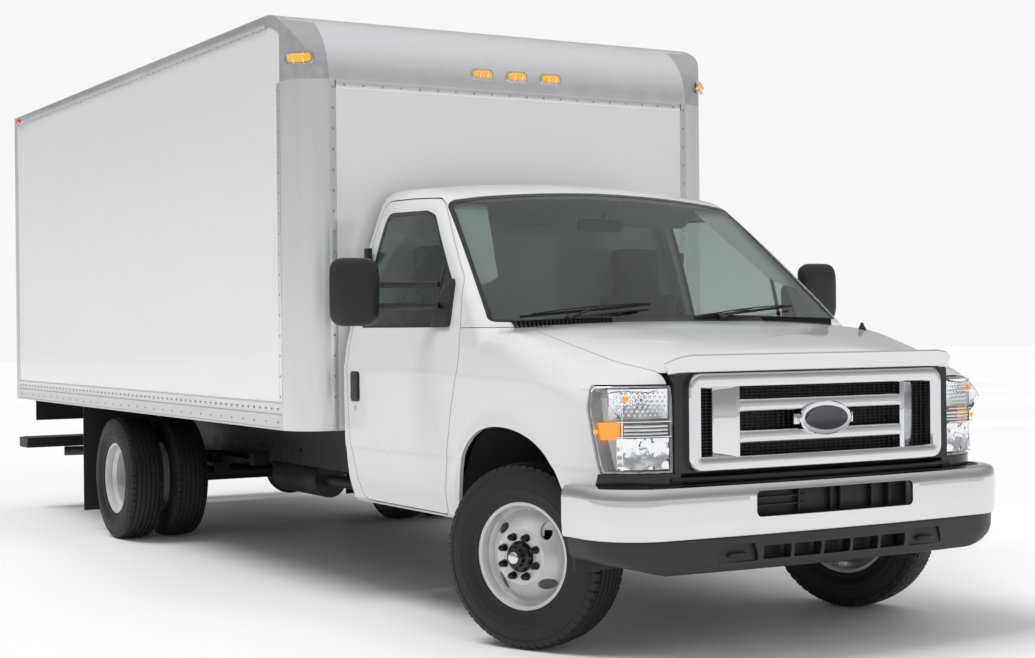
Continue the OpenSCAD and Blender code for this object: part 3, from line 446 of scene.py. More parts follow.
def make_finishes(sizes):
    """Every finish the truck uses, by its plain name."""
    f = {}
    f["cab white"] = finish("cab white gloss", sizes.cab_colour, 0.30, coat=1.0, vary=0.012, rough_vary=0.03,
                            scale=2)
    f["box white"] = finish("box white satin", sizes.box_colour, 0.26, metal=0.35, coat=0.3, vary=0.006,
                            rough_vary=0.015, scale=0.8)
    f["door white"] = finish("rear door white", sizes.box_colour, 0.45, vary=0.03, scale=4, bump=0.05)
    f["bright aluminium"] = finish("bright rolled aluminium", (0.80, 0.81, 0.82), 0.30, metal=0.85, vary=0.02,
                                   rough_vary=0.03, scale=3, stretch=(5, 5, 0.5))
    f["mill aluminium"] = finish("mill finish aluminium", (0.72, 0.73, 0.74), 0.38, metal=1.0, vary=0.08,
                                 rough_vary=0.08, scale=8, bump=0.12, bump_scale=120, stretch=(1, 0.2, 1))
    f["cast aluminium"] = finish("grey cast cap", (0.55, 0.56, 0.57), 0.42, metal=0.85, vary=0.08, scale=20,
                                 bump=0.35, bump_scale=500)
    f["chassis black"] = finish("chassis black", (0.013, 0.013, 0.014), 0.5, vary=0.3, scale=12, bump=0.3,
                                bump_scale=200)
    f["cast iron"] = finish("cast iron", (0.035, 0.034, 0.033), 0.62, metal=0.5, vary=0.25, scale=14,
                            bump=0.6, bump_scale=260)
    f["exhaust steel"] = finish("aluminised exhaust", (0.085, 0.08, 0.075), 0.5, metal=0.7, vary=0.2, scale=9,
                                bump=0.2)
    f["wheel paint"] = finish("silver wheel paint", sizes.wheel_colour, 0.36, metal=0.35, coat=0.2, vary=0.04,
                              rough_vary=0.06, scale=10, bump=0.08, bump_scale=400)
    f["tyre"] = finish("tyre rubber", (0.012, 0.012, 0.0125), 0.62, vary=0.25, scale=18, bump=0.35,
                       bump_scale=350)
    f["rubber"] = finish("moulded rubber", (0.014, 0.014, 0.014), 0.66, vary=0.2, scale=20, bump=0.3)
    f["chrome"] = finish("chrome", (0.72, 0.73, 0.74), 0.07, metal=1.0, vary=0.02, rough_vary=0.02, scale=5,
                         bump=0.01, bump_scale=40)
    f["black plastic"] = finish("grained black plastic", (0.016, 0.016, 0.017), 0.42, vary=0.2, scale=12,
                                bump=0.4, bump_scale=900)
    f["black gloss"] = finish("gloss black seal", (0.008, 0.008, 0.009), 0.16, vary=0.2, scale=10, bump=0.03)
    f["grey plastic"] = finish("grey trim plastic", (0.21, 0.20, 0.22), 0.52, vary=0.06, scale=14, bump=0.35,
                               bump_scale=1200)
    f["dark trim"] = finish("dark trim plastic", (0.045, 0.045, 0.050), 0.5, vary=0.1, scale=14, bump=0.4,
                            bump_scale=1200)
    f["headliner"] = finish("headliner cloth", (0.34, 0.33, 0.35), 0.9, vary=0.06, scale=30, bump=0.6,
                            bump_scale=1500)
    f["carpet"] = finish("floor mat", (0.03, 0.03, 0.033), 0.9, vary=0.2, scale=40, bump=0.9, bump_scale=900)
    f["seat cloth"] = finish("seat cloth", (0.075, 0.077, 0.085), 0.88, vary=0.12, scale=60, bump=0.9,
                             bump_scale=1400)
    f["floor wood"] = finish("floor planks", (0.36, 0.20, 0.09), 0.55, vary=0.25, scale=5, bump=0.3,
                             bump_scale=60, stretch=(9, 0.5, 1))
    f["amber"] = finish("amber lens", (1.0, 0.34, 0.02), 0.14, vary=0.06, scale=40, bump=0.1,
                        Emission_Color=(1.0, 0.36, 0.03, 1), Emission_Strength=0.55)
    f["red lens"] = finish("red lens", (0.55, 0.012, 0.010), 0.14, vary=0.06, scale=40, bump=0.1,
                           Emission_Color=(0.8, 0.02, 0.01, 1), Emission_Strength=0.2)
    f["clear lens"] = finish("clear lamp lens", (0.98, 0.99, 1.0), 0.02, vary=0.005, rough_vary=0.01,
                             scale=10, Transmission_Weight=1.0, IOR=1.2)
    f["reflector"] = finish("lamp reflector", (0.88, 0.89, 0.90), 0.08, metal=1.0, vary=0.03, rough_vary=0.04,
                            scale=30)
    f["glass"] = finish("tinted glass", (0.62, 0.70, 0.68), 0.01, vary=0.01, rough_vary=0.005, scale=4,
                        Transmission_Weight=1.0, IOR=1.35)
    f["mirror"] = finish("mirror glass", (0.80, 0.82, 0.83), 0.02, metal=1.0, vary=0.01, rough_vary=0.005)
    f["badge"] = finish("plain badge plate", (0.05, 0.055, 0.07), 0.2, metal=0.6, coat=0.6, vary=0.1,
                        scale=20)
    f["roof sheet"] = finish("roof sheet", (0.74, 0.75, 0.76), 0.34, metal=0.9, vary=0.05, scale=3, bump=0.1,
                             bump_scale=12)
    f["frame aluminium"] = finish("rear frame aluminium", (0.70, 0.71, 0.72), 0.36, metal=0.8, vary=0.05,
                                  scale=6, bump=0.1, bump_scale=90)
    f["webbing"] = finish("woven webbing", (0.02, 0.02, 0.022), 0.8, vary=0.3, scale=90, bump=0.9,
                          bump_scale=1500)
    f["galvanised"] = finish("galvanised tread", (0.30, 0.31, 0.32), 0.45, metal=0.8, vary=0.25, scale=25,
                             bump=0.3)
    f["steel"] = finish("bare steel", (0.42, 0.42, 0.42), 0.35, metal=1.0, vary=0.1, scale=20, bump=0.1)
    return f


F = {}


# ---------------------------------------------------------------- the cab's outer form

SILL, CAB_BACK = 0.470, 1.500
half_width = curve_table((0.30, 0.93), (0.40, 0.940), (0.47, 0.955), (0.60, 0.990), (0.75, 1.003),
                         (0.92, 1.007),
                         (1.08, 1.008), (1.18, 0.999), (1.285, 0.975), (1.45, 0.935), (1.60, 0.893),
                         (1.87, 0.800), (1.93, 0.775), (2.10, 0.690))
hood_height = curve_table((-1.20, 1.02), (-0.76, 1.150), (-0.72, 1.165), (-0.65, 1.190), (-0.50, 1.222),
                          (-0.25, 1.262), (0.03, 1.300), (0.30, 1.312), (1.6, 1.32))
hood_fall = curve_table((-0.90, 0.135), (-0.68, 0.115), (-0.50, 0.085), (-0.25, 0.050), (0.0, 0.030),
                        (1.6, 0.020))
roof_height = curve_table((0.40, 1.76), (0.62, 1.852), (0.79, 1.905), (1.00, 1.952), (1.20, 1.975),
                          (1.50, 1.985))
edge_radius = curve_table((0.95, 0.085), (1.10, 0.105), (1.27, 0.060), (1.40, 0.045), (1.80, 0.060),
                          (2.0, 0.085))


def crease(y):
    """Height of the pressed line along the cab's side."""
    return 1.083 + 0.0257 * y


def round_join(a, b, r):
    """Where two faces of a form meet, with a round edge between them."""
    return np.minimum(np.maximum(a, b), -r) + np.hypot(np.maximum(a + r, 0), np.maximum(b + r, 0))


def windshield_height(x, y):
    """Height of the windshield's plane over a point."""
    return 1.29 + 0.826 * (y - 0.06 - 0.139 * x * x)


def screen_foot(x):
    """How far back the windshield's foot stands, across the truck."""
    return 0.06 + 0.139 * x * x


def cab_form(p):
    """How far a point lies outside the cab's smooth outer form; below zero is inside."""
    x, y, z = np.abs(p[..., 0]), p[..., 1], p[..., 2]
    width = half_width(z) - 0.022 * np.clip(-y / 0.5, 0, 1.4) ** 2
    width = width - 0.0035 / (1 + np.exp(np.clip((crease(y) - z) / 0.004, -30, 30)))
    width = width - 0.0045 / (1 + np.exp(np.clip((z - 0.742 + 0.012 * y) / 0.005, -30, 30)))
    arch = np.abs(np.hypot((y + 0.01) / 1.03, (z - 0.455)) - 0.435)
    width = width + 0.009 * np.exp(-((arch / 0.030) ** 2)) * (z > 0.40)
    side = x - width
    hood = (z - hood_height(y) + hood_fall(y) * (x / 0.85) ** 3) * 0.99
    screen = (z - windshield_height(x, y)) * 0.771
    roof = z - roof_height(y) + 0.045 * (x / 0.75) ** 2
    top = np.minimum(round_join(screen, roof, 0.035), hood)
    r = edge_radius(z)
    body = round_join(side, top, r)
    front = -(y + 0.762 - 0.018 * (x / 0.733) ** 2 - 0.03 * np.clip((z - 1.0) / 0.2, 0, 1) ** 2)
    u, v = body, front
    corner = np.interp(z, [0.4, 1.04, 1.16], [0.240, 0.225, 0.075])
    body = round_join(u, v, np.where(side > top, corner, np.minimum(corner, 0.075)))
    body = round_join(body, y - CAB_BACK, 0.012)
    return round_join(body, SILL - z, 0.012)


def form_skin(inside=0.0, fine=1.0):
    """The closed skin of the cab's form, at a depth inside it, as points and faces."""
    stations = [(-0.30, a) for a in np.linspace(89.0, 2.0, int(62 * fine))]
    stations += [(y, 0.0) for y in np.linspace(-0.30, 1.46, int(150 * fine))]
    stations += [(1.46, -a) for a in np.linspace(6.0, 88.0, int(12 * fine))]
    levels = list(np.linspace(-0.38, -0.15, int(14 * fine))) + list(np.linspace(-0.14, -0.075,
                                                                                int(14 * fine)))
    levels += list(np.linspace(-0.06, 0.18, int(12 * fine)))
    near_crease = list(np.linspace(-0.025, 0.025, int(18 * fine)))
    origins, ways = [], []
    for y, lean in stations:
        mid = 0.85
        angles = list(np.linspace(-89.9, math.degrees(math.atan2(-0.385, 0.95)), int(22 * fine)))
        angles += [math.degrees(math.atan2(v, 1.0)) for v in levels]
        angles += [math.degrees(math.atan2(crease(y) + v - mid, 1.0)) for v in near_crease]
        angles += list(np.linspace(15.2, 30, int(22 * fine))) + list(np.linspace(30.6, 66, int(46 * fine)))
        angles += list(np.linspace(67, 89.9, int(24 * fine)))
        angles = np.radians(np.sort(np.array(angles)))
        up, out = np.sin(angles), np.cos(angles)
        right = np.stack([-out, np.zeros(len(out)), up], 1)
        left = np.stack([out[::-1], np.zeros(len(out)), up[::-1]], 1)
        ring = np.concatenate([right, left])
        a = math.radians(lean)
        ring = ring * math.cos(a) + np.array([0, -math.sin(a), 0])
        ways.append(ring)
        origins.append(np.broadcast_to(np.array([0, y, mid]), ring.shape))
    origins, ways = np.array(origins), np.array(ways)
    near, far = np.zeros(ways.shape[:2]), np.full(ways.shape[:2], 3.0)
    for _ in range(26):
        middle = (near + far) / 2
        outside = cab_form(origins + ways * middle[..., None]) > -inside
        far = np.where(outside, middle, far)
        near = np.where(outside, near, middle)
    points = origins + ways * near[..., None]
    rows, cols = points.shape[:2]
    faces = sheet_faces(rows, cols, wrap_cols=True)
    flat = points.reshape(-1, 3)
    ends = [flat[:cols].mean(0), flat[-cols:].mean(0)]
    flat = np.concatenate([flat, ends])
    a, b = len(flat) - 2, len(flat) - 1
    faces += [(a, (j + 1) % cols, j) for j in range(cols)]
    start = (rows - 1) * cols
    faces += [(b, start + j, start + (j + 1) % cols) for j in range(cols)]
    return flat, faces


DOOR = smoothed([(0.530, 0.484), (0.457, 0.735), (0.404, 0.948), (0.352, 1.105), (0.352, 1.190),
                 (0.440, 1.485),
                 (0.640, 1.664), (0.836, 1.838), (0.900, 1.868), (1.150, 1.880), (1.390, 1.884),
                 (1.424, 1.850), (1.434, 1.500), (1.430, 1.105), (1.408, 0.755), (1.345, 0.484)], 1)
DOOR = rounded(DOOR, [0.03, 0.3, 0.3, 0.12, 0.10, 0.10, 0.3, 0.10, 0.10, 0.3, 0.05, 0.05, 0.4, 0.4, 0.3,
                      0.05], 5)
WINDOW = rounded([(0.468, 1.285), (0.500, 1.455), (0.862, 1.790), (0.960, 1.815), (1.366, 1.826),
                  (1.362, 1.500), (1.356, 1.285)], [0.035, 0.07, 0.09, 0.06, 0.05, 0.5, 0.035], 5)
ARCH = smoothed([(-0.475, 0.30), (-0.470, 0.52), (-0.440, 0.64), (-0.375, 0.75), (-0.280, 0.828),
                 (-0.150, 0.873),
                 (0.0, 0.886), (0.140, 0.868), (0.250, 0.812), (0.325, 0.722), (0.372, 0.600), (0.420, 0.480),
                 (0.440, 0.30)], 4)
HOOD = rounded([(-0.702, -0.90), (-0.702, -0.700), (-0.735, -0.640), (-0.790, -0.520), (-0.825, -0.300),
                (-0.845, -0.060), (-0.846, 0.052), (-0.60, 0.034), (0.0, 0.030), (0.60, 0.034),
                (0.846, 0.052),
                (0.845, -0.060), (0.825, -0.300), (0.790, -0.520), (0.735, -0.640), (0.702, -0.700),
                (0.702, -0.90)],
               [0, 0.03, 0.1, 0.3, 0.5, 0.2, 0.04, 0.3, 0.5, 0.3, 0.04, 0.2, 0.5, 0.3, 0.1, 0.03, 0], 4)
# The windshield's outline is (across, up its slope) from the foot of its plane.
SCREEN = rounded([(-0.935, 0.118), (-0.785, 0.955), (-0.60, 0.972), (0.0, 0.985), (0.60, 0.972),
                  (0.785, 0.955), (0.935, 0.118), (0.60, 0.040), (0.0, 0.004), (-0.60, 0.040)],
                 [0.035, 0.055, 0.3, 0.5, 0.3, 0.055, 0.035, 0.3, 0.5, 0.3], 5)
SLOPE = Vector((0, 1, 0.826)).normalized()
RISE = Vector((0, -SLOPE.z, SLOPE.y))


def screen_prism(name, outline, low=-0.35, high=0.25):
    """A prism square to the windshield's slope."""
    foot = Vector((0, 0.06, 1.29))
    points = []
    for depth in (low, high):
        for u, v in outline:
            points.append(foot + Vector((u, 0, 0)) + SLOPE * v + RISE * depth)
    n = len(outline)
    faces = [(i, (i + 1) % n, n + (i + 1) % n, n + i) for i in range(n)]
    faces += [tuple(range(n - 1, -1, -1)), tuple(range(n, 2 * n))]
    return outward(raw(name, points, faces))


def prism(name, outline, low, high, axis="x"):
    """A cutting prism."""
    return solid(name, extruded(outline, low, high, axis))


def shell(outer, deep):
    """The skin between the outer form and the form at a depth."""
    thing = copy_of(outer, "shell")
    return cut(thing, deep, keep=True)


def by_depth(thing, deep, skin=0.004):
    """Gives the faces that look into the cab the second finish, by how deep they lie in the form."""
    data = thing.data
    centres = np.empty(len(data.polygons) * 3, np.float32)
    data.polygons.foreach_get("center", centres)
    centres = centres.reshape(-1, 3).astype(float) - np.array([0, AXLE, 0])
    depth = -cab_form(centres)
    data.polygons.foreach_set("material_index", (depth > deep - skin).astype(np.int32))
    data.update()
    return thing


class CabSizes(bpy.types.PropertyGroup):
    """Sizes and colours of the cab that a user would change."""

    cab_colour: FloatVectorProperty(name="Cab colour", description="Paint of the cab", subtype="COLOR",
                                    default=(0.67, 0.675, 0.685), min=0, max=1)
    wheel_colour: FloatVectorProperty(name="Wheel colour", description="Paint of the wheels", subtype="COLOR",
                                      default=(0.62, 0.63, 0.64), min=0, max=1)
    box_colour: FloatVectorProperty(name="Box colour", description="Paint of the cargo body", subtype="COLOR",
                                    default=(0.87, 0.875, 0.88), min=0, max=1)
    shut_line: FloatProperty(name="Shut line", description="Half of the gap between two panels",
                             default=0.0028, min=0.001, max=0.006, unit="LENGTH")
    wing_skin: FloatProperty(name="Wing skin", description="Depth of the hood's and fenders' folded skin",
                             default=0.016, min=0.005, max=0.03, unit="LENGTH")
    cab_skin: FloatProperty(name="Cab skin",
                            description="Depth of the cab's pillars and walls with their trim",
                            default=0.045, min=0.02, max=0.06, unit="LENGTH")


class TRUCK_OT_cab(bpy.types.Operator):
    """Build the cab's painted panels, windshield and door glass"""

    bl_idname = "truck.cab"
    bl_label = "Cab panels and glass"

    def execute(self, context):
        s = context.scene.truck_cab
        gap = s.shut_line
        outer = solid("outer form", form_skin(0.0, 1.0))
        thin = solid("wing depth", form_skin(s.wing_skin, 0.6))
        deep = solid("cab depth", form_skin(s.cab_skin, 0.6))
        wing = shell(outer, thin)
        wall = shell(outer, deep)
        cut(wing, solid("wing hollow", block((-0.60, -0.74, 0.30), (0.60, 1.6, 1.12))), keep=False)
        cut(wing, solid("wing floor", block((-0.925, -0.70, 0.30), (0.925, 1.6, 0.50))))
        cut(wall, solid("cab floor opening", block((-0.90, -0.8, 0.30), (0.90, 1.44, 0.56))))
        front_zone = prism("front zone",
                           [(-1.2, 0.2), (0.62, 0.2), (0.62, 1.283 - gap / 2), (0.052, 1.283 - gap / 2),
                            (0.052, 1.6), (-1.2, 1.6)], -1.3, 1.3)
        back_zone = prism("back zone", [(0.052 + gap, 1.283 + gap / 2), (0.62 + gap, 1.283 + gap / 2),
                                        (0.62 + gap, 0.2), (1.8, 0.2), (1.8, 2.4), (0.052 + gap, 2.4)], -1.3,
                          1.3)
        # Hood
        hood = copy_of(wing, "hood_panel")
        cut(hood, prism("hood cutter", grown(HOOD, -gap), 1.1075, 1.5, "z"), how="INTERSECT")
        by_depth(hood, s.wing_skin)
        finish_piece(hood, [F["cab white"], F["dark trim"]], "hood", 28, ["hood"])
        # Fenders
        fender = copy_of(wing, "fender_panels")
        cut(fender, front_zone, how="INTERSECT")
        cut(fender, prism("hood opening", grown(HOOD, gap), 0.90, 1.6, "z"))
        cut(fender, prism("door opening", grown(DOOR, gap), -1.3, 1.3))
        cut(fender, prism("arch opening", ARCH, -1.3, 1.3))
        cut(fender, prism("lamp opening",
                          grown([(-1.1, 0.732), (-0.617, 0.732), (-0.567, 1.064), (-1.1, 1.067)],
                                0.002), -1.3, 1.3))
        cut(fender, prism("grille opening", box_outline(1.36, 0.44, 0.02, 3, (0, 0.905)), -1.0, -0.60, "y"))
        by_depth(fender, s.wing_skin)
        finish_piece(fender, [F["cab white"], F["black plastic"]], "chassis", 28, ["fenders"])
        # Cab shell
        cab = copy_of(wall, "cab_panels")
        cut(cab, back_zone, how="INTERSECT")
        cut(cab, prism("doorway", grown(DOOR, gap), -1.3, 1.3))
        cut(cab, screen_prism("screen opening", SCREEN))
        cut(cab, prism("rear arch", grown(ARCH, 0.002), -1.3, 1.3))
        by_depth(cab, s.cab_skin)
        finish_piece(cab, [F["cab white"], F["headliner"]], "chassis", 28, ["cab_shell"])
        # Doors
        door = copy_of(wall, "door_panel_right")
        cut(door, prism("door cutter", grown(DOOR, -gap), -1.3, -0.5), how="INTERSECT")
        cut(door, prism("window opening", WINDOW, -1.3, -0.4))
        by_depth(door, s.cab_skin)
        twin = mirrored(door, "door_panel_left")
        finish_piece(door, [F["cab white"], F["grey plastic"]], "door_right", 28, ["door_right"])
        finish_piece(twin, [F["cab white"], F["grey plastic"]], "door_left", 28, ["door_left"])
        # Glass: a sheet of the form a little way in, with a black edge band
        glass_out = solid("glass face", form_skin(0.005, 0.6))
        glass_in = solid("glass back", form_skin(0.010, 0.6))
        band_out = solid("band face", form_skin(0.0035, 0.6))
        sheet = shell(glass_out, glass_in)
        band = shell(band_out, glass_in)
        screen = copy_of(sheet, "windshield_glass")
        cut(screen, screen_prism("screen", grown(SCREEN, -0.022)), how="INTERSECT")
        finish_piece(screen, F["glass"], "chassis", 28, ["windshield"])
        edge = copy_of(band, "windshield_seal")
        cut(edge, screen_prism("band", grown(SCREEN, -0.001)), how="INTERSECT")
        cut(edge, screen_prism("band hole", grown(SCREEN, -0.0225)))
        finish_piece(edge, F["black gloss"], "chassis", 28)
        pane = copy_of(sheet, "door_window_right")
        cut(pane, prism("pane", grown(WINDOW, -0.018), -1.3, -0.4), how="INTERSECT")
        rim = copy_of(band, "door_window_seal_right")
        cut(rim, prism("rim", grown(WINDOW, -0.0008), -1.3, -0.4), how="INTERSECT")
        cut(rim, prism("rim hole", grown(WINDOW, -0.0185), -1.3, -0.4))
        # The quarter bar of the door window
        bar = copy_of(band, "door_window_bar_right")
        cut(bar, prism("bar", [(0.640, 1.29), (0.664, 1.29), (0.664, 1.70), (0.640, 1.70)], -1.3, -0.4),
            how="INTERSECT")
        cut(bar, prism("bar ends", grown(WINDOW, -0.019), -1.3, -0.4), how="INTERSECT")
        for one, slot, look in ((pane, "tinted_glass", "glass"), (rim, "black_plastic", "black gloss"),
                                (bar, "black_plastic", "black plastic")):
            other = mirrored(one, one.name.replace("right", "left"))
            finish_piece(one, F[look], "door_right", 28, ["door_glass_right"] if one is pane else ())
            finish_piece(other, F[look], "door_left", 28, ["door_glass_left"] if one is pane else ())
        for spare in (outer, thin, deep, wing, wall, glass_out, glass_in, band_out, sheet, band):
            bpy.data.objects.remove(spare)
        return {"FINISHED"}


class TRUCK_OT_stage(bpy.types.Operator):
    """Set the camera, the pale floor and the soft lights"""

    bl_idname = "truck.stage"
    bl_label = "Camera, floor and lights"

    def execute(self, context):
        s = context.scene.truck_stage
        scene = context.scene
        camera = bpy.data.cameras.new("camera")
        camera.lens, camera.sensor_width, camera.sensor_fit = s.lens, 36.0, "HORIZONTAL"
        camera.clip_end = 200
        camera.dof.use_dof = False
        yaw, pitch, roll = s.heading, s.pitch, s.roll
        ahead = Vector((math.sin(yaw) * math.cos(pitch), math.cos(yaw) * math.cos(pitch), math.sin(pitch)))
        right = Vector((math.cos(yaw), -math.sin(yaw), 0))
        up = right.cross(ahead)
        right, up = right * math.cos(roll) + up * math.sin(roll), up * math.cos(roll) - right * math.sin(roll)
        view = Matrix.Identity(4)
        for i in range(3):
            view[i][0], view[i][1], view[i][2] = right[i], up[i], -ahead[i]
            view[i][3] = s.stand[i] + (AXLE if i == 1 else 0)
        holder = bpy.data.objects.new("camera", camera)
        holder.matrix_world = view
        scene.collection.objects.link(holder)
        scene.camera = holder
        # Floor
        floor = raw("studio_floor", [(-60, -60, 0), (60, -60, 0), (60, 60, 0), (-60, 60, 0)], [(0, 1, 2, 3)],
                    shift=False)
        floor.data.materials.append(finish("studio floor", s.floor_colour, 0.55, vary=0.004, scale=0.4))
        # Surroundings: a bright low band, greyer above it, and a plain backdrop behind the truck
        world = bpy.data.worlds.new("studio")
        world.use_nodes = True
        n, link = world.node_tree.nodes, world.node_tree.links
        back = n["Background"]
        coords = n.new("ShaderNodeTexCoord")
        split = n.new("ShaderNodeSeparateXYZ")
        link.new(coords.outputs["Generated"], split.inputs["Vector"])
        ramp = n.new("ShaderNodeValToRGB")
        ramp.color_ramp.elements[0].position, ramp.color_ramp.elements[0].color = 0.0, (0.5, 0.5, 0.5, 1)
        ramp.color_ramp.elements[1].position, ramp.color_ramp.elements[1].color = 1.0, (1.5, 1.5, 1.55, 1)
        for place, value in ((0.49, 0.70), (0.505, 1.35), (0.53, 1.10), (0.57, 0.72), (0.66, 0.62),
                             (0.80, 1.10), (0.92, 1.40)):
            e = ramp.color_ramp.elements.new(place)
            e.color = (value, value, value * 1.015, 1)
        spread = n.new("ShaderNodeMapRange")
        spread.inputs["From Min"].default_value = -1
        link.new(split.outputs["Z"], spread.inputs["Value"])
        link.new(spread.outputs["Result"], ramp.inputs["Fac"])
        link.new(ramp.outputs["Color"], back.inputs["Color"])
        back.inputs["Strength"].default_value = s.ambient
        plain = n.new("ShaderNodeBackground")
        plain.inputs["Color"].default_value = (*s.backdrop, 1)
        rays = n.new("ShaderNodeLightPath")
        blend = n.new("ShaderNodeMixShader")
        link.new(rays.outputs["Is Camera Ray"], blend.inputs["Fac"])
        link.new(back.outputs["Background"], blend.inputs[1])
        link.new(plain.outputs["Background"], blend.inputs[2])
        link.new(blend.outputs["Shader"], n["World Output"].inputs["Surface"])
        scene.world = world
        for name, toward, wide, power in (("key light", (0.48, -0.24, -1.08), 28, s.key_power),
                                          ("front light", (0.10, 1.0, -0.50), 50, s.key_power * 0.30)):
            light = bpy.data.lights.new(name, "SUN")
            light.angle, light.energy = math.radians(wide), power
            lamp = bpy.data.objects.new(name, light)
            lamp.rotation_euler = Vector(toward).to_track_quat("-Z", "Y").to_euler()
            lamp.visible_glossy = False
            lamp.visible_transmission = name == "key light"
            scene.collection.objects.link(lamp)
        scene.view_settings.view_transform = "Standard"
        return {"FINISHED"}


class StageSizes(bpy.types.PropertyGroup):
    """Camera and light of the studio."""

    lens: FloatProperty(name="Lens", description="Focal length on a 36 mm sensor, in millimetres",
                        default=60.42, min=10, max=200)
    stand: FloatVectorProperty(name="Camera stand", description="Camera place from the front axle", size=3,
                               default=(-4.478, -6.015, 1.293), subtype="XYZ", unit="LENGTH")
    heading: FloatProperty(name="Heading", description="Turn from straight back along the truck",
                           default=math.radians(30.623), subtype="ANGLE")
    pitch: FloatProperty(name="Pitch", description="Tilt up", default=math.radians(-0.139), subtype="ANGLE")
    roll: FloatProperty(name="Roll", description="Roll of the camera", default=math.radians(-0.536),
                        subtype="ANGLE")
    floor_colour: FloatVectorProperty(name="Floor", description="Floor colour", subtype="COLOR",
                                      default=(0.90, 0.90, 0.90), min=0, max=1)
    backdrop: FloatVectorProperty(name="Backdrop", description="Colour behind the truck", subtype="COLOR",
                                  default=(0.93, 0.93, 0.93), min=0, max=1)
    ambient: FloatProperty(name="Ambient light", description="Strength of the studio's surroundings",
                           default=0.52, min=0)
    key_power: FloatProperty(name="Key light", description="Strength of the main soft light", default=1.85,
                             min=0)


# ---------------------------------------------------------------- lamps, grille and bumper


def front_line(x, ahead=0.785, bow=0.018):
    """How far forward the grille's face stands across the truck."""
    return -ahead + bow * (np.asarray(x, float) / 0.65) ** 2


def round_bar(width, height, radius, steps=4):
    """A bar's section with rounded corners."""
    return box_outline(width, height, radius, steps)


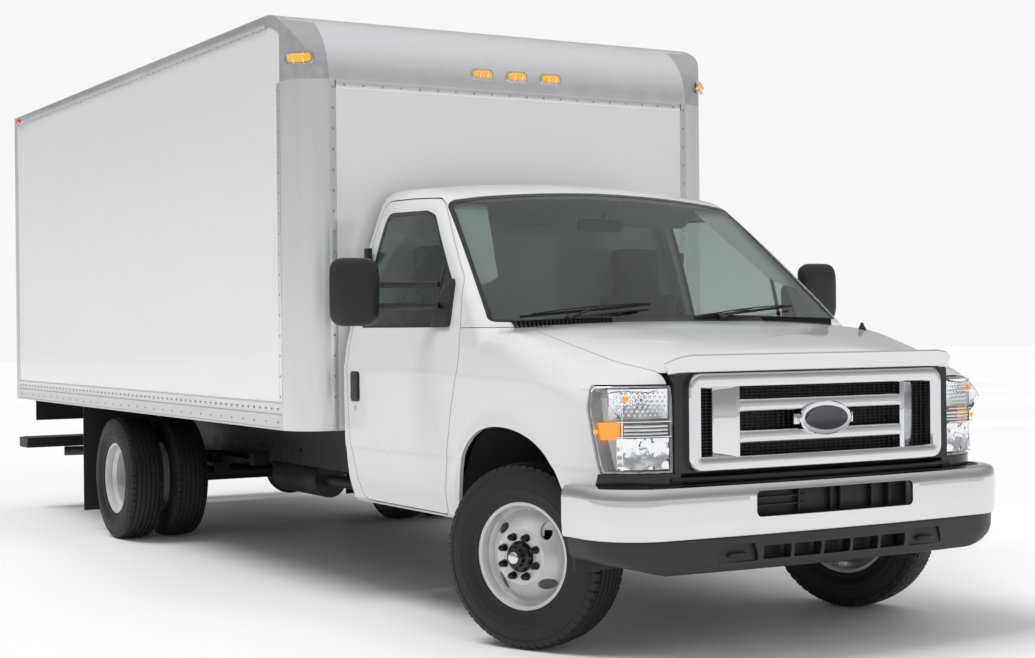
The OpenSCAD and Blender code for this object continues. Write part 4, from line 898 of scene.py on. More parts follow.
class TRUCK_OT_headlights(bpy.types.Operator):
    """Build the headlights: lens, reflectors, bulbs and side marker"""

    bl_idname = "truck.headlights"
    bl_label = "Headlights"

    def execute(self, context):
        side_view = [(-1.1, 0.737), (-0.621, 0.737), (-0.571, 1.060), (-1.1, 1.0625)]
        layers = {d: solid("layer", form_skin(d, 0.6)) for d in (-0.003, 0.0025, 0.0065, 0.012, 0.050, 0.055)}

        def slice_of(front, back, side, inner=0.692, outer=1.2):
            thing = copy_of(layers[front], "slice")
            cut(thing, layers[back], keep=True)
            cut(thing, prism("lamp side", side, -1.3, 1.3), how="INTERSECT")
            cut(thing, solid("lamp span", block((-outer, -1.2, 0.5), (-inner, -0.3, 1.3))), how="INTERSECT")
            return thing

        lens = slice_of(0.0025, 0.0065, side_view)
        lens.name = "headlight_lens_right"
        back = slice_of(0.050, 0.055, grown(side_view, -0.004), inner=0.697)
        back.name = "headlight_housing_right"
        frame_ring = slice_of(0.0065, 0.055, side_view)
        hole = solid("hole", extruded(grown(side_view, -0.007), -1.3, 1.3, "x"))
        cut(hole, solid("hole span", block((-1.2, -1.2, 0.5), (-0.700, -0.3, 1.3))), how="INTERSECT")
        cut(frame_ring, hole)
        frame_ring.name = "headlight_rim_right"
        marker = slice_of(0.012, 0.050, [(-1.1, 0.862), (-0.618, 0.862), (-0.608, 0.925), (-1.1, 0.925)],
                          inner=0.872)
        marker.name = "headlight_marker_right"
        band = slice_of(-0.003, 0.0065, [(-1.1, 0.688), (-0.600, 0.688), (-0.612, 0.7345), (-1.1, 0.7345)],
                        inner=0.660)
        band.name = "lamp_sill_right"
        # Reflector: a faceted lower bowl, a ribbed middle, and rows of small domes at the top
        spread = np.random.default_rng(7)

        def depth_at(x, extra):
            return front_line(x) + extra + np.maximum(0.0, -x - 0.76) ** 2 * 2.6

        def facets(x0, x1, z0, z1, nx, nz, deep, rough):
            """A sheet of small tilted mirrors, closed at its back."""
            xs, zs = np.linspace(x0, x1, nx), np.linspace(z0, z1, nz)
            gx, gz = np.meshgrid(xs, zs)
            bow = 1 - np.clip(np.hypot((gx - (x0 + x1) / 2) / (x1 - x0) * 2,
                                       (gz - (z0 + z1) / 2) / (z1 - z0) * 2), 0, 1)
            gy = depth_at(gx, deep) + 0.020 * bow + spread.uniform(-rough, rough, gx.shape)
            front = np.stack([gx, gy, gz], 2).reshape(-1, 3)
            back_sheet = front + np.array([0, 0.006, 0])
            count = nx * nz
            edge = ([i for i in range(nx)] + [nx * k + nx - 1 for k in range(1, nz)] +
                    [nx * (nz - 1) + k for k in range(nx - 2, -1, -1)]
                    + [nx * k for k in range(nz - 2, 0, -1)])
            faces = sheet_faces(nz, nx) + sheet_faces(nz, nx, start=count, flip=True)
            faces += [(edge[k], edge[k - 1], edge[k - 1] + count, edge[k] + count) for k in range(len(edge))]
            return np.concatenate([front, back_sheet]), faces

        mirror_parts = [facets(-0.704, -0.895, 0.752, 0.868, 17, 11, 0.026, 0.0040)]
        domes = []
        for row in range(6):
            for i in range(10):
                x = -0.716 - 0.0195 * i - 0.0095 * (row % 2)
                domes.append(turned([(0.0072, 0.004), (0.0072, 0.0), (0.0055, -0.004), (0.0028, -0.0062),
                                     (1e-4, -0.007)],
                                    8, (x, float(depth_at(x, 0.040)), 0.953 + 0.0165 * row), (0, 1, 0)))
        sheet = facets(-0.704, -0.915, 0.940, 1.050, 12, 3, 0.034, 0.0)
        for z in (0.884, 0.898, 0.912):
            line = [(x, float(depth_at(x, 0.036)), z) for x in np.linspace(-0.706, -0.870, 12)]
            mirror_parts.append(swept(line, round_bar(0.012, 0.010, 0.004)))
        ledges = []
        for z in (0.874, 0.930):
            line = [(x, float(depth_at(x, 0.030)), z) for x in np.linspace(-0.700, -0.895, 12)]
            ledges.append(swept(line, round_bar(0.034, 0.0045, 0.001)))
        upright = float(depth_at(-0.880, 0.030))
        ledges.append(block((-0.8815, upright - 0.006, 0.748), (-0.8785, upright + 0.012, 1.052)))
        bowls = solid("headlight_reflector_right", mirror_parts + [sheet])
        dots = solid("headlight_domes_right", domes)
        ledge = solid("headlight_ledges_right", ledges)
        bulbs = solid("headlight_bulbs_right", [
            turned([(1e-4, -0.016), (0.009, -0.012), (0.0125, 0.0), (0.012, 0.02), (0.008, 0.03),
                    (1e-4, 0.03)], 24,
                   (-0.795, float(depth_at(-0.795, 0.030)), 0.812), (0.12, 1, 0))])
        turn = solid("headlight_turn_bulb_right", [
            turned([(1e-4, -0.010), (0.008, -0.007), (0.010, 0.0), (0.008, 0.014), (1e-4, 0.016)], 20,
                   (-0.868, float(depth_at(-0.868, 0.026)), 1.012), (0, 1, 0)),
            turned([(1e-4, -0.010), (0.008, -0.007), (0.010, 0.0), (0.008, 0.014), (1e-4, 0.016)], 20,
                   (-0.955, float(depth_at(-0.955, 0.022)), 0.893), (0.5, 1, 0))])
        for thing, look, slot in ((lens, "clear lens", "lamp_lens"), (band, "black gloss", "black_plastic"),
                                  (back, "wheel paint", "chrome"),
                                  (frame_ring, "wheel paint", "chrome"), (marker, "amber", "amber_lens"),
                                  (bowls, "reflector", "chrome"), (dots, "reflector", "chrome"),
                                  (ledge, "reflector", "chrome"), (bulbs, "clear lens", "lamp_lens"),
                                  (turn, "amber", "amber_lens")):
            other = mirrored(thing, thing.name.replace("right", "left"))
            stands = ["headlights"] if thing is lens else ()
            finish_piece(thing, F[look], "chassis", 30, stands)
            finish_piece(other, F[look], "chassis", 30)
        for spare in layers.values():
            bpy.data.objects.remove(spare)
        return {"FINISHED"}


class TRUCK_OT_grille(bpy.types.Operator):
    """Build the chrome grille, its mesh, the blank badge and the hood's front moulding"""

    bl_idname = "truck.grille"
    bl_label = "Grille"

    def execute(self, context):
        chrome, black = F["chrome"], F["black plastic"]
        low, high, half = 0.735, 1.104, 0.636
        mid = (low + high) / 2

        def bent(points, ahead=0.785):
            p = np.array(points, float)
            return np.stack([p[:, 0], front_line(p[:, 0], ahead), p[:, 1]], 1)

        ring = box_outline(2 * half - 0.056, high - low - 0.056, 0.026, 8, (0, mid))
        fine = []
        for a, b in zip(ring, np.roll(ring, -1, 0)):
            steps = max(1, int(np.linalg.norm(b - a) / 0.05))
            fine += [a + (b - a) * k / steps for k in range(steps)]
        face = [(-0.028, -0.030), (-0.028, 0.002), (-0.022, 0.010), (0.0, 0.013), (0.022, 0.011),
                (0.028, 0.004), (0.028, -0.030)]
        parts = [swept(bent(fine), face, closed=True, up=(0, -1, 0))]
        # Upright bars: each broad one slopes back towards the side slot
        for sign in (-1, 1):
            y = float(front_line(0.452, 0.790))
            outline = [(0.404, y + 0.036), (0.404, y - 0.000), (0.408, y - 0.003), (0.424, y - 0.003),
                       (0.428, y - 0.001), (0.502, y + 0.034), (0.508, y + 0.036)]
            parts.append(extruded([(sign * a, c) for a, c in outline], low + 0.030, high - 0.030, "z"))
            y = float(front_line(0.600, 0.780))
            parts.append(extruded([(sign * a, c) for a,
                                   c in ((0.590, y + 0.026), (0.590, y - 0.006), (0.611, y - 0.006),
                                         (0.611, y + 0.026))], low + 0.030, high - 0.030, "z"))
        # Cross bars
        for z in (0.8600, 0.9790):
            xs = np.linspace(-0.408, 0.408, 25)
            path = np.stack([xs, front_line(xs, 0.783), np.full(25, z)], 1)
            section = [(-0.024, -0.024), (-0.024, 0.002), (-0.018, 0.008), (0.018, 0.010), (0.024, 0.004),
                       (0.024, -0.024)]
            parts.append(swept(path, section, up=(0, -1, 0)))
        thing = solid("grille_chrome", parts)
        soften(thing, 0.0016, 2, 25)
        finish_piece(thing, chrome, "chassis", 30, ["grille"])
        # Mesh behind the openings
        mesh = []
        for z in np.arange(low + 0.022, high - 0.02, 0.0125):
            xs = np.linspace(-0.60, 0.60, 13)
            path = np.stack([xs, front_line(xs, 0.752), np.full(13, z)], 1)
            mesh.append(swept(path, round_bar(0.0034, 0.010, 0.001, 1), up=(0, -1, 0)))
        for x in np.arange(-0.585, 0.59, 0.026):
            y = float(front_line(x, 0.750))
            mesh.append(swept([(x, y, low + 0.02), (x, y, high - 0.02)], round_bar(0.003, 0.008, 0.001, 1),
                              up=(0, -1, 0)))
        piece("grille_mesh", mesh, black, "chassis")
        # Black panel round the grille, which fills the gap to the lamps and the bumper
        outer = box_outline(1.378, 0.372, 0.012, 3, (0, 0.918))
        inner = box_outline(1.200, 0.330, 0.02, 3, (0, mid))
        rim = solid("grille_panel", extruded(outer, -0.752, -0.715, "y"))
        cut(rim, solid("hole", extruded(inner, -0.90, -0.60, "y")))
        finish_piece(rim, F["black gloss"], "chassis", 30)
        piece("grille_dark_back", [block((-0.66, -0.690, 0.64), (0.66, -0.680, 1.10))], F["black plastic"],
              "chassis", bevel=0.003)
        piece("bumper_top_filler", [swept(
            [(x, float(front_line(x, 0.770, 0.03)) + 0.04, 0.708) for x in np.linspace(-0.70, 0.70, 19)],
            round_bar(0.12, 0.018, 0.006), up=(0, 0, 1))], F["black plastic"], "chassis")
        # Oval badge plate, left plain
        def oval(rx, rz, y, depth, lip):
            angle = np.linspace(0, 2 * math.pi, 64, endpoint=False)
            rings = [(1.0, 0.0), (1.0, -depth), (1 - lip * 0.4, -depth - 0.004), (1 - lip, -depth - 0.003)]
            points = [(rx * k * math.cos(a), y + d, mid + 0.001 + rz * k * math.sin(a)) for k,
                      d in rings for a in angle]
            faces = sheet_faces(len(rings), 64, wrap_cols=True)
            faces += [tuple(range(63, -1, -1)), tuple((len(rings) - 1) * 64 + j for j in range(64))]
            return points, faces
        piece("badge_ring", [oval(0.130, 0.066, -0.790, 0.014, 0.12)], chrome, "chassis")
        piece("badge_plate", [oval(0.104, 0.048, -0.800, 0.012, 0.08)], F["badge"], "chassis")
        piece("badge_mounts", [block((-0.150, -0.792, mid - 0.020), (0.150, -0.778, mid + 0.020), 0.004)],
              chrome, "chassis", bevel=0.002)
        # Chrome moulding on the hood's front edge
        xs = np.concatenate([np.linspace(-0.712, -0.66, 6)[:-1], np.linspace(-0.66, 0.66, 31),
                             np.linspace(0.66, 0.712, 6)[1:]])
        fall = np.clip((np.abs(xs) - 0.640) / 0.072, 0, 1)
        path = np.stack([xs, front_line(xs, 0.773, 0.016) + 0.020 * fall**2, 1.142 - 0.020 * fall**1.5], 1)
        section = [(-0.006, -0.034), (0.012, -0.033), (0.022, -0.022), (0.024, -0.006), (0.018, 0.012),
                   (0.004, 0.027), (-0.014, 0.035), (-0.020, 0.030), (-0.012, 0.010)]
        section = [(-a, b) for a, b in section]
        thing = solid("hood_front_moulding", [swept(path, section, scale=1 - 0.35 * fall)])
        soften(thing, 0.002, 2, 40)
        finish_piece(thing, chrome, "hood", 50)
        return {"FINISHED"}


class TRUCK_OT_bumper(bpy.types.Operator):
    """Build the chrome front bumper and the black valance below it"""

    bl_idname = "truck.bumper"
    bl_label = "Front bumper"

    def execute(self, context):
        def plan(reach, corner, front, bow, side_y):
            """The bumper's outline from above, from one end round the front to the other."""
            xs = np.linspace(-(reach - corner), reach - corner, 33)
            nose = [(x, -front + bow * (x / (reach - corner)) ** 2) for x in xs]
            end_x, end_y = nose[-1]
            turn = [(end_x + corner * math.sin(a) * 1.0, end_y + corner * (1 - math.cos(a)))
                    for a in np.linspace(0.08, math.pi / 2, 12)]
            tail = [(turn[-1][0] + 0.004 * k, turn[-1][1] + (side_y - turn[-1][1]) * k) for k in (0.5, 1.0)]
            half = turn + tail
            return np.array([(-x, y, 0.0) for x, y in reversed(half)] + [(x, y, 0) for x, y in nose] +
                            [(x, y, 0.0) for x, y in half])

        path = plan(1.010, 0.235, 0.872, 0.030, -0.475)
        path[:, 2] = 0.595
        section = [(0.022, -0.096), (0.006, -0.098), (0.002, -0.090), (-0.001, -0.040), (-0.001, 0.050),
                   (0.003, 0.078), (0.014, 0.092), (0.040, 0.098), (0.066, 0.097), (0.066, 0.092),
                   (0.024, 0.086), (0.014, 0.070), (0.010, -0.085), (0.022, -0.090)]
        bumper = solid("bumper_chrome", [swept(path, [(-a, b) for a, b in section])])
        cut(bumper, solid("slot", extruded(box_outline(0.785, 0.098, 0.022, 6, (0, 0.612)), -1.0, -0.7, "y")))
        finish_piece(bumper, F["chrome"], "chassis", 32, ["front_bumper"])
        piece("bumper_slot_back", [swept(
            [(x, -0.806 + 0.020 * (x / 0.5) ** 2, 0.612) for x in np.linspace(-0.42, 0.42, 15)],
            [(-0.004, -0.056), (0.004, -0.056), (0.004, 0.056), (-0.004, 0.056)])], F["chassis black"],
              "chassis",
            bevel=0.001)
        ribs = [block((x - 0.004, -0.830, 0.565), (x + 0.004, -0.806, 0.660))
                for x in (-0.16, 0.0, 0.05, 0.21, 0.30)]
        ribs += [block((-0.39, -0.826, z - 0.003), (-0.12, -0.806, z + 0.003)) for z in (0.60, 0.63)]
        piece("bumper_slot_ribs", ribs, F["chassis black"], "chassis", bevel=0.001)
        # Valance
        path = plan(1.000, 0.240, 0.866, 0.034, -0.50)
        path[:, 2] = 0.430
        ends = np.clip((np.abs(path[:, 0]) - 0.76) / 0.24, 0, 1)
        section = [(0.050, -0.070), (0.028, -0.064), (0.010, -0.040), (0.002, -0.004), (0.0, 0.060),
                   (0.006, 0.069), (0.020, 0.069), (0.030, 0.060), (0.050, 0.0)]
        side = [(-a, b) for a, b in section]
        lower = swept(path, side)
        points = lower[0].copy()
        lift = np.repeat(ends, len(side)) * 0.045 * np.clip((0.50 - points[:, 2]) / 0.13, 0, 1)
        points[:, 2] += lift
        valance = solid("valance", [(points, lower[1])])
        cells = []
        for x in (-0.290, -0.145, 0.0, 0.145, 0.290):
            cells.append(extruded(box_outline(0.130, 0.052, 0.006, 3, (x, 0.427)), -1.0, -0.78, "y"))
        for x in (-0.47, 0.47):
            cells.append(extruded(rounded([(x - 0.095, 0.398), (x + 0.095, 0.398), (x + 0.075, 0.466),
                                           (x - 0.075, 0.466)], 0.01, 3), -1.0, -0.838, "y"))
        cut(valance, *[solid("cell", c) for c in cells])
        finish_piece(valance, F["black plastic"], "chassis", 32, ["bumper_valance"])
        piece("valance_back",
              [swept([(x, -0.792 + 0.03 * x * x, 0.427) for x in np.linspace(-0.56, 0.56, 15)],
                     [(-0.004, -0.040), (0.004, -0.040), (0.004, 0.040), (-0.004, 0.040)])],
              F["chassis black"], "chassis")
        hooks = []
        for x in (-0.47, 0.47):
            hooks.append(swept(smoothed([(x - 0.035, -0.80, 0.425), (x - 0.035, -0.846, 0.425),
                                         (x, -0.858, 0.428), (x + 0.035, -0.846, 0.425),
                                         (x + 0.035, -0.80, 0.425)],
                                        6), round_bar(0.016, 0.016, 0.007)))
        piece("recovery_hooks", hooks, F["chassis black"], "chassis")
        return {"FINISHED"}


# ---------------------------------------------------------------- wheels


def spin_frame(name):
    """The middle and outward direction of a wheel from its joint."""
    j = joint(name)
    centre = np.array(j["pos_m"], float) - np.array([0, AXLE, 0])
    axis = np.array(j["axis"], float)
    if axis[0] * centre[0] < 0:
        axis = -axis
    return centre, axis


def tyre_parts(radius, rim, width, centre, axis, offset):
    """A radial truck tyre with ribs, shoulder lugs and sidewall rings."""
    w, r = width / 2, radius
    tread = 0.78 * w
    depth = 0.0085
    edges = [0.0, 0.012, 0.018, 0.040, 0.046, 0.068, 0.074, tread]
    half = []
    for i in range(0, len(edges) - 1):
        a, b = edges[i], edges[i + 1]
        is_groove = i % 2 == 1
        half += [(a + 0.0008, is_groove), (b - 0.0008, is_groove)]
    profile = []
    for x, is_groove in half:
        crown = 0.006 * (x / tread) ** 2
        profile.append((r - crown - (depth if is_groove else 0), x, 0 if x < 0.07 else 1))
    wall = [(r - 0.010, tread + 0.008, 2), (r - 0.022, w - 0.011, 2), (r - 0.034, w - 0.006, 0),
            (r - 0.038, w - 0.009, 0), (r - 0.052, w - 0.004, 0), (r - 0.070, w - 0.0005, 0),
            (r - 0.085, w, 0), (r - 0.088, w - 0.0022, 0), (r - 0.100, w - 0.0022, 0),
            (r - 0.103, w - 0.0005, 0),
            (r - 0.120, w - 0.006, 0), (r - 0.132, w - 0.015, 0), (rim + 0.012, w - 0.020, 0),
            (rim + 0.008, w - 0.030, 0), (rim + 0.001, w - 0.034, 0)]
    profile += wall
    left = [(a, -b, c) for a, b, c in reversed(profile)]
    full = np.array(left + profile)
    full = np.concatenate([full, [(rim + 0.001, w - 0.05, 0), (rim + 0.001, -(w - 0.05), 0)]])
    count = 60 * 6
    angle = np.arange(count) * 2 * math.pi / count
    kind = full[:, 2]
    phase = np.arange(count) % 6
    notch = np.where(phase == 0, 1.0, 0.0)[:, None] * ((kind == 1) * 0.006 + (kind == 2) * 0.007)[None, :]
    sipe = np.where(phase == 3, 1.0, 0.0)[:, None] * ((kind == 1) * 0.0025)[None, :]
    rr = full[None, :, 0] - notch - sipe
    axis = np.array(axis) / np.linalg.norm(axis)
    across = np.cross(axis, (0, 0, 1.0))
    across /= np.linalg.norm(across)
    other = np.cross(axis, across)
    ring = np.cos(angle)[:, None] * across + np.sin(angle)[:, None] * other
    middle = np.array(centre) + axis * offset
    points = middle + ring[:, None, :] * rr[:, :, None] + axis * full[None, :, 1:2]
    m = len(full)
    faces = sheet_faces(count, m, wrap_rows=True, wrap_cols=True)
    return points.reshape(-1, 3), faces


def wheel_parts(centre, axis, offset, dish, rim_radius, rim_width, facing=1):
    """A pressed steel disc wheel; dish is where its face stands, and facing which way it bows."""
    axis = np.array(axis, float)
    middle = np.array(centre) + axis * offset
    r, w = rim_radius, rim_width / 2
    lip = [(r - 0.004, -w), (r + 0.013, -w - 0.003), (r + 0.014, -w + 0.004), (r + 0.001, -w + 0.010),
           (r - 0.001, -w + 0.040), (r - 0.022, -w + 0.060), (r - 0.022, w - 0.060), (r - 0.001, w - 0.040),
           (r + 0.001, w - 0.010), (r + 0.014, w - 0.004), (r + 0.013, w + 0.003), (r - 0.004, w),
           (r - 0.009, w - 0.012), (r - 0.010, w - 0.038), (r - 0.030, w - 0.058), (r - 0.030, -w + 0.058),
           (r - 0.010, -w + 0.038), (r - 0.009, -w + 0.012)]
    rim = turned(lip, 96, middle, axis, closed=True)
    f = facing
    # The disc: a flat bolting face, a bowed flank with the hand holes and a flange to the rim
    face = [(0.063, 0.0), (0.104, 0.0), (0.112, -0.002 * f), (0.120, -0.010 * f), (0.150, -0.034 * f),
            (0.172, -0.058 * f), (0.183, -0.080 * f), (0.1905, -0.100 * f), (0.1905, -0.112 * f)]
    back = [(a - 0.006, b - 0.009 * f) for a, b in reversed(face)]
    back[-1] = (0.063, -0.009 * f)
    disc = turned(face + back, 96, middle + axis * dish, axis, closed=True)
    return rim, disc


class TRUCK_OT_wheels(bpy.types.Operator):
    """Build the tyres, disc wheels, hubs, studs and nuts"""

    bl_idname = "truck.wheels"
    bl_label = "Wheels and tyres"

    def execute(self, context):
        s = context.scene.truck_wheels
        r, rim, width = s.tyre_diameter / 2, s.rim_diameter / 2, s.tyre_width

        def hand_holes(disc, middle, axis, dish):
            axis = Vector(axis)
            across = axis.cross(Vector((0, 0, 1))).normalized()
            other = axis.cross(across)
            for i in range(4):
                a = math.radians(45 + 90 * i)
                spoke = across * math.cos(a) + other * math.sin(a)
                tangent = axis.cross(spoke)
                centre = Vector(middle) + axis * dish + spoke * 0.148
                lean = math.radians(28)
                long = tangent * math.cos(lean) + spoke * math.sin(lean)
                short = spoke * math.cos(lean) - tangent * math.sin(lean)
                ring = [(long * math.cos(t) * 0.036 + short * math.sin(t) * 0.021) for t in
                        np.linspace(0, 2 * math.pi, 28, endpoint=False)]
                points = [tuple(centre + q + axis * d) for d in (-0.16, 0.16) for q in ring]
                faces = [(k, (k + 1) % 28, 28 + (k + 1) % 28, 28 + k) for k in range(28)]
                faces += [tuple(range(27, -1, -1)), tuple(range(28, 56))]
                cut(disc, outward(raw("hand hole", points, faces)))

        def nuts(middle, axis, at, count=8, circle=0.0826, long=0.026):
            axis_v = Vector(axis)
            across = axis_v.cross(Vector((0, 0, 1))).normalized()
            other = axis_v.cross(across)
            out = []
            for i in range(count):
                a = (i + 0.5) * 2 * math.pi / count
                base = Vector(middle) + axis_v * at + (across * math.cos(a) + other * math.sin(a)) * circle
                shape = [(1e-4, 0), (0.0165, 0.0), (0.0165, 0.003), (0.0148, 0.006), (0.0125, long),
                         (0.0105, long + 0.003),
                         (0.0062, long + 0.004), (0.0060, long + 0.011), (1e-4, long + 0.012)]
                out.append(turned(shape, 18, tuple(base), axis))
            return out

        for sign, side in SIDES:
            # Front: the disc bows outwards
            centre, axis = spin_frame("spin_front_" + side)
            body = "wheel_front_" + side
            tyre = solid("tyre_front_" + side, [tyre_parts(r, rim, width, centre, axis, 0.0)])
            finish_piece(tyre, F["tyre"], body, 24, ["front_tyre_" + side])
            rim_part, disc_part = wheel_parts(centre, axis, 0.0, s.front_dish, rim, s.rim_width, facing=1)
            disc = solid("front_disc", [disc_part])
            hand_holes(disc, centre, axis, s.front_dish - 0.03)
            soften(disc, 0.0022, 2, 40)
            wheel = solid("wheel_front_" + side, [rim_part])
            join(wheel, disc)
            finish_piece(wheel, F["wheel paint"], body, 30, ["front_wheel_" + side])
            at = s.front_dish
            hub = [turned([(1e-4, -0.03), (0.058, -0.03), (0.058, 0.010), (0.052, 0.018), (0.040, 0.022),
                           (0.036, 0.040), (0.030, 0.046), (1e-4, 0.047)], 48, centre + axis * at, axis)]
            piece("hub_front_" + side, hub, F["black gloss"], body, bevel=0.001)
            cap = [turned([(1e-4, 0.044), (0.0245, 0.044), (0.0245, 0.050), (0.020, 0.055), (0.006, 0.057),
                           (1e-4, 0.057)], 40, centre + axis * at, axis)]
            piece("hub_cap_front_" + side, cap, F["chrome"], body, bevel=0.0008)
            piece("wheel_nuts_front_" + side, nuts(centre, axis, at), F["black gloss"], body)
            # Rear pair
            centre, axis = spin_frame("spin_rear_" + side)
            body = "wheels_rear_" + side
            half = s.pair_spacing / 2
            low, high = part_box("rear_tyres_" + side)
            pair_middle = (low.x + high.x) / 2 * sign
            shift = pair_middle - abs(centre[0])
            treads = [tyre_parts(r, rim, width, centre, axis, shift + k * half) for k in (-1, 1)]
            tyres = solid("tyres_rear_" + side, treads)
            finish_piece(tyres, F["tyre"], body, 24, ["rear_tyres_" + side])
            outer_rim, outer_disc = wheel_parts(centre, axis, shift + half, -0.120, rim, s.rim_width,
                                                facing=-1)
            inner_rim, inner_disc = wheel_parts(centre, axis, shift - half, 0.130, rim, s.rim_width, facing=1)
            disc = solid("rear_disc", [outer_disc])
            hand_holes(disc, centre + axis * (shift + half), axis, -0.09)
            soften(disc, 0.0022, 2, 40)
            wheels = solid("wheels_rear_" + side, [outer_rim, inner_rim, inner_disc])
            join(wheels, disc)
            finish_piece(wheels, F["wheel paint"], body, 30, ["rear_wheels_" + side])
            at = shift + half - 0.120
            hub = [turned([(1e-4, -0.03), (0.060, -0.03), (0.060, 0.012), (0.054, 0.018), (0.052, 0.055),
                           (0.046, 0.062), (0.014, 0.064), (1e-4, 0.064)], 48, centre + axis * at, axis)]
            piece("hub_rear_" + side, hub, F["cast iron"], body, bevel=0.001)
            piece("wheel_nuts_rear_" + side, nuts(centre, axis, at), F["black gloss"], body)
        return {"FINISHED"}


class WheelSizes(bpy.types.PropertyGroup):
    """Sizes of the wheels and tyres."""

    tyre_diameter: FloatProperty(name="Tyre diameter", description="Across the tread", default=0.744, min=0.6,
                                 max=0.9, unit="LENGTH")
    tyre_width: FloatProperty(name="Tyre width", description="Across the sidewalls", default=0.225, min=0.15,
                              max=0.3, unit="LENGTH")
    rim_diameter: FloatProperty(name="Rim seat diameter", description="Where the tyre's bead sits",
                                default=0.412, min=0.3, max=0.5, unit="LENGTH")
    rim_width: FloatProperty(name="Rim width", description="Between the rim's lips", default=0.166, min=0.1,
                             max=0.2, unit="LENGTH")
    front_dish: FloatProperty(name="Front disc stand-out",
                              description="How far the front disc's face stands out",
                              default=0.098, min=0.0, max=0.15, unit="LENGTH")
    pair_spacing: FloatProperty(name="Rear pair spacing", description="Between a pair's tyre centres",
                                default=0.280, min=0.25, max=0.33, unit="LENGTH")


# ---------------------------------------------------------------- outside fittings


# Across the truck to the middle of a mirror's head.
MIRROR_X = 1.2835


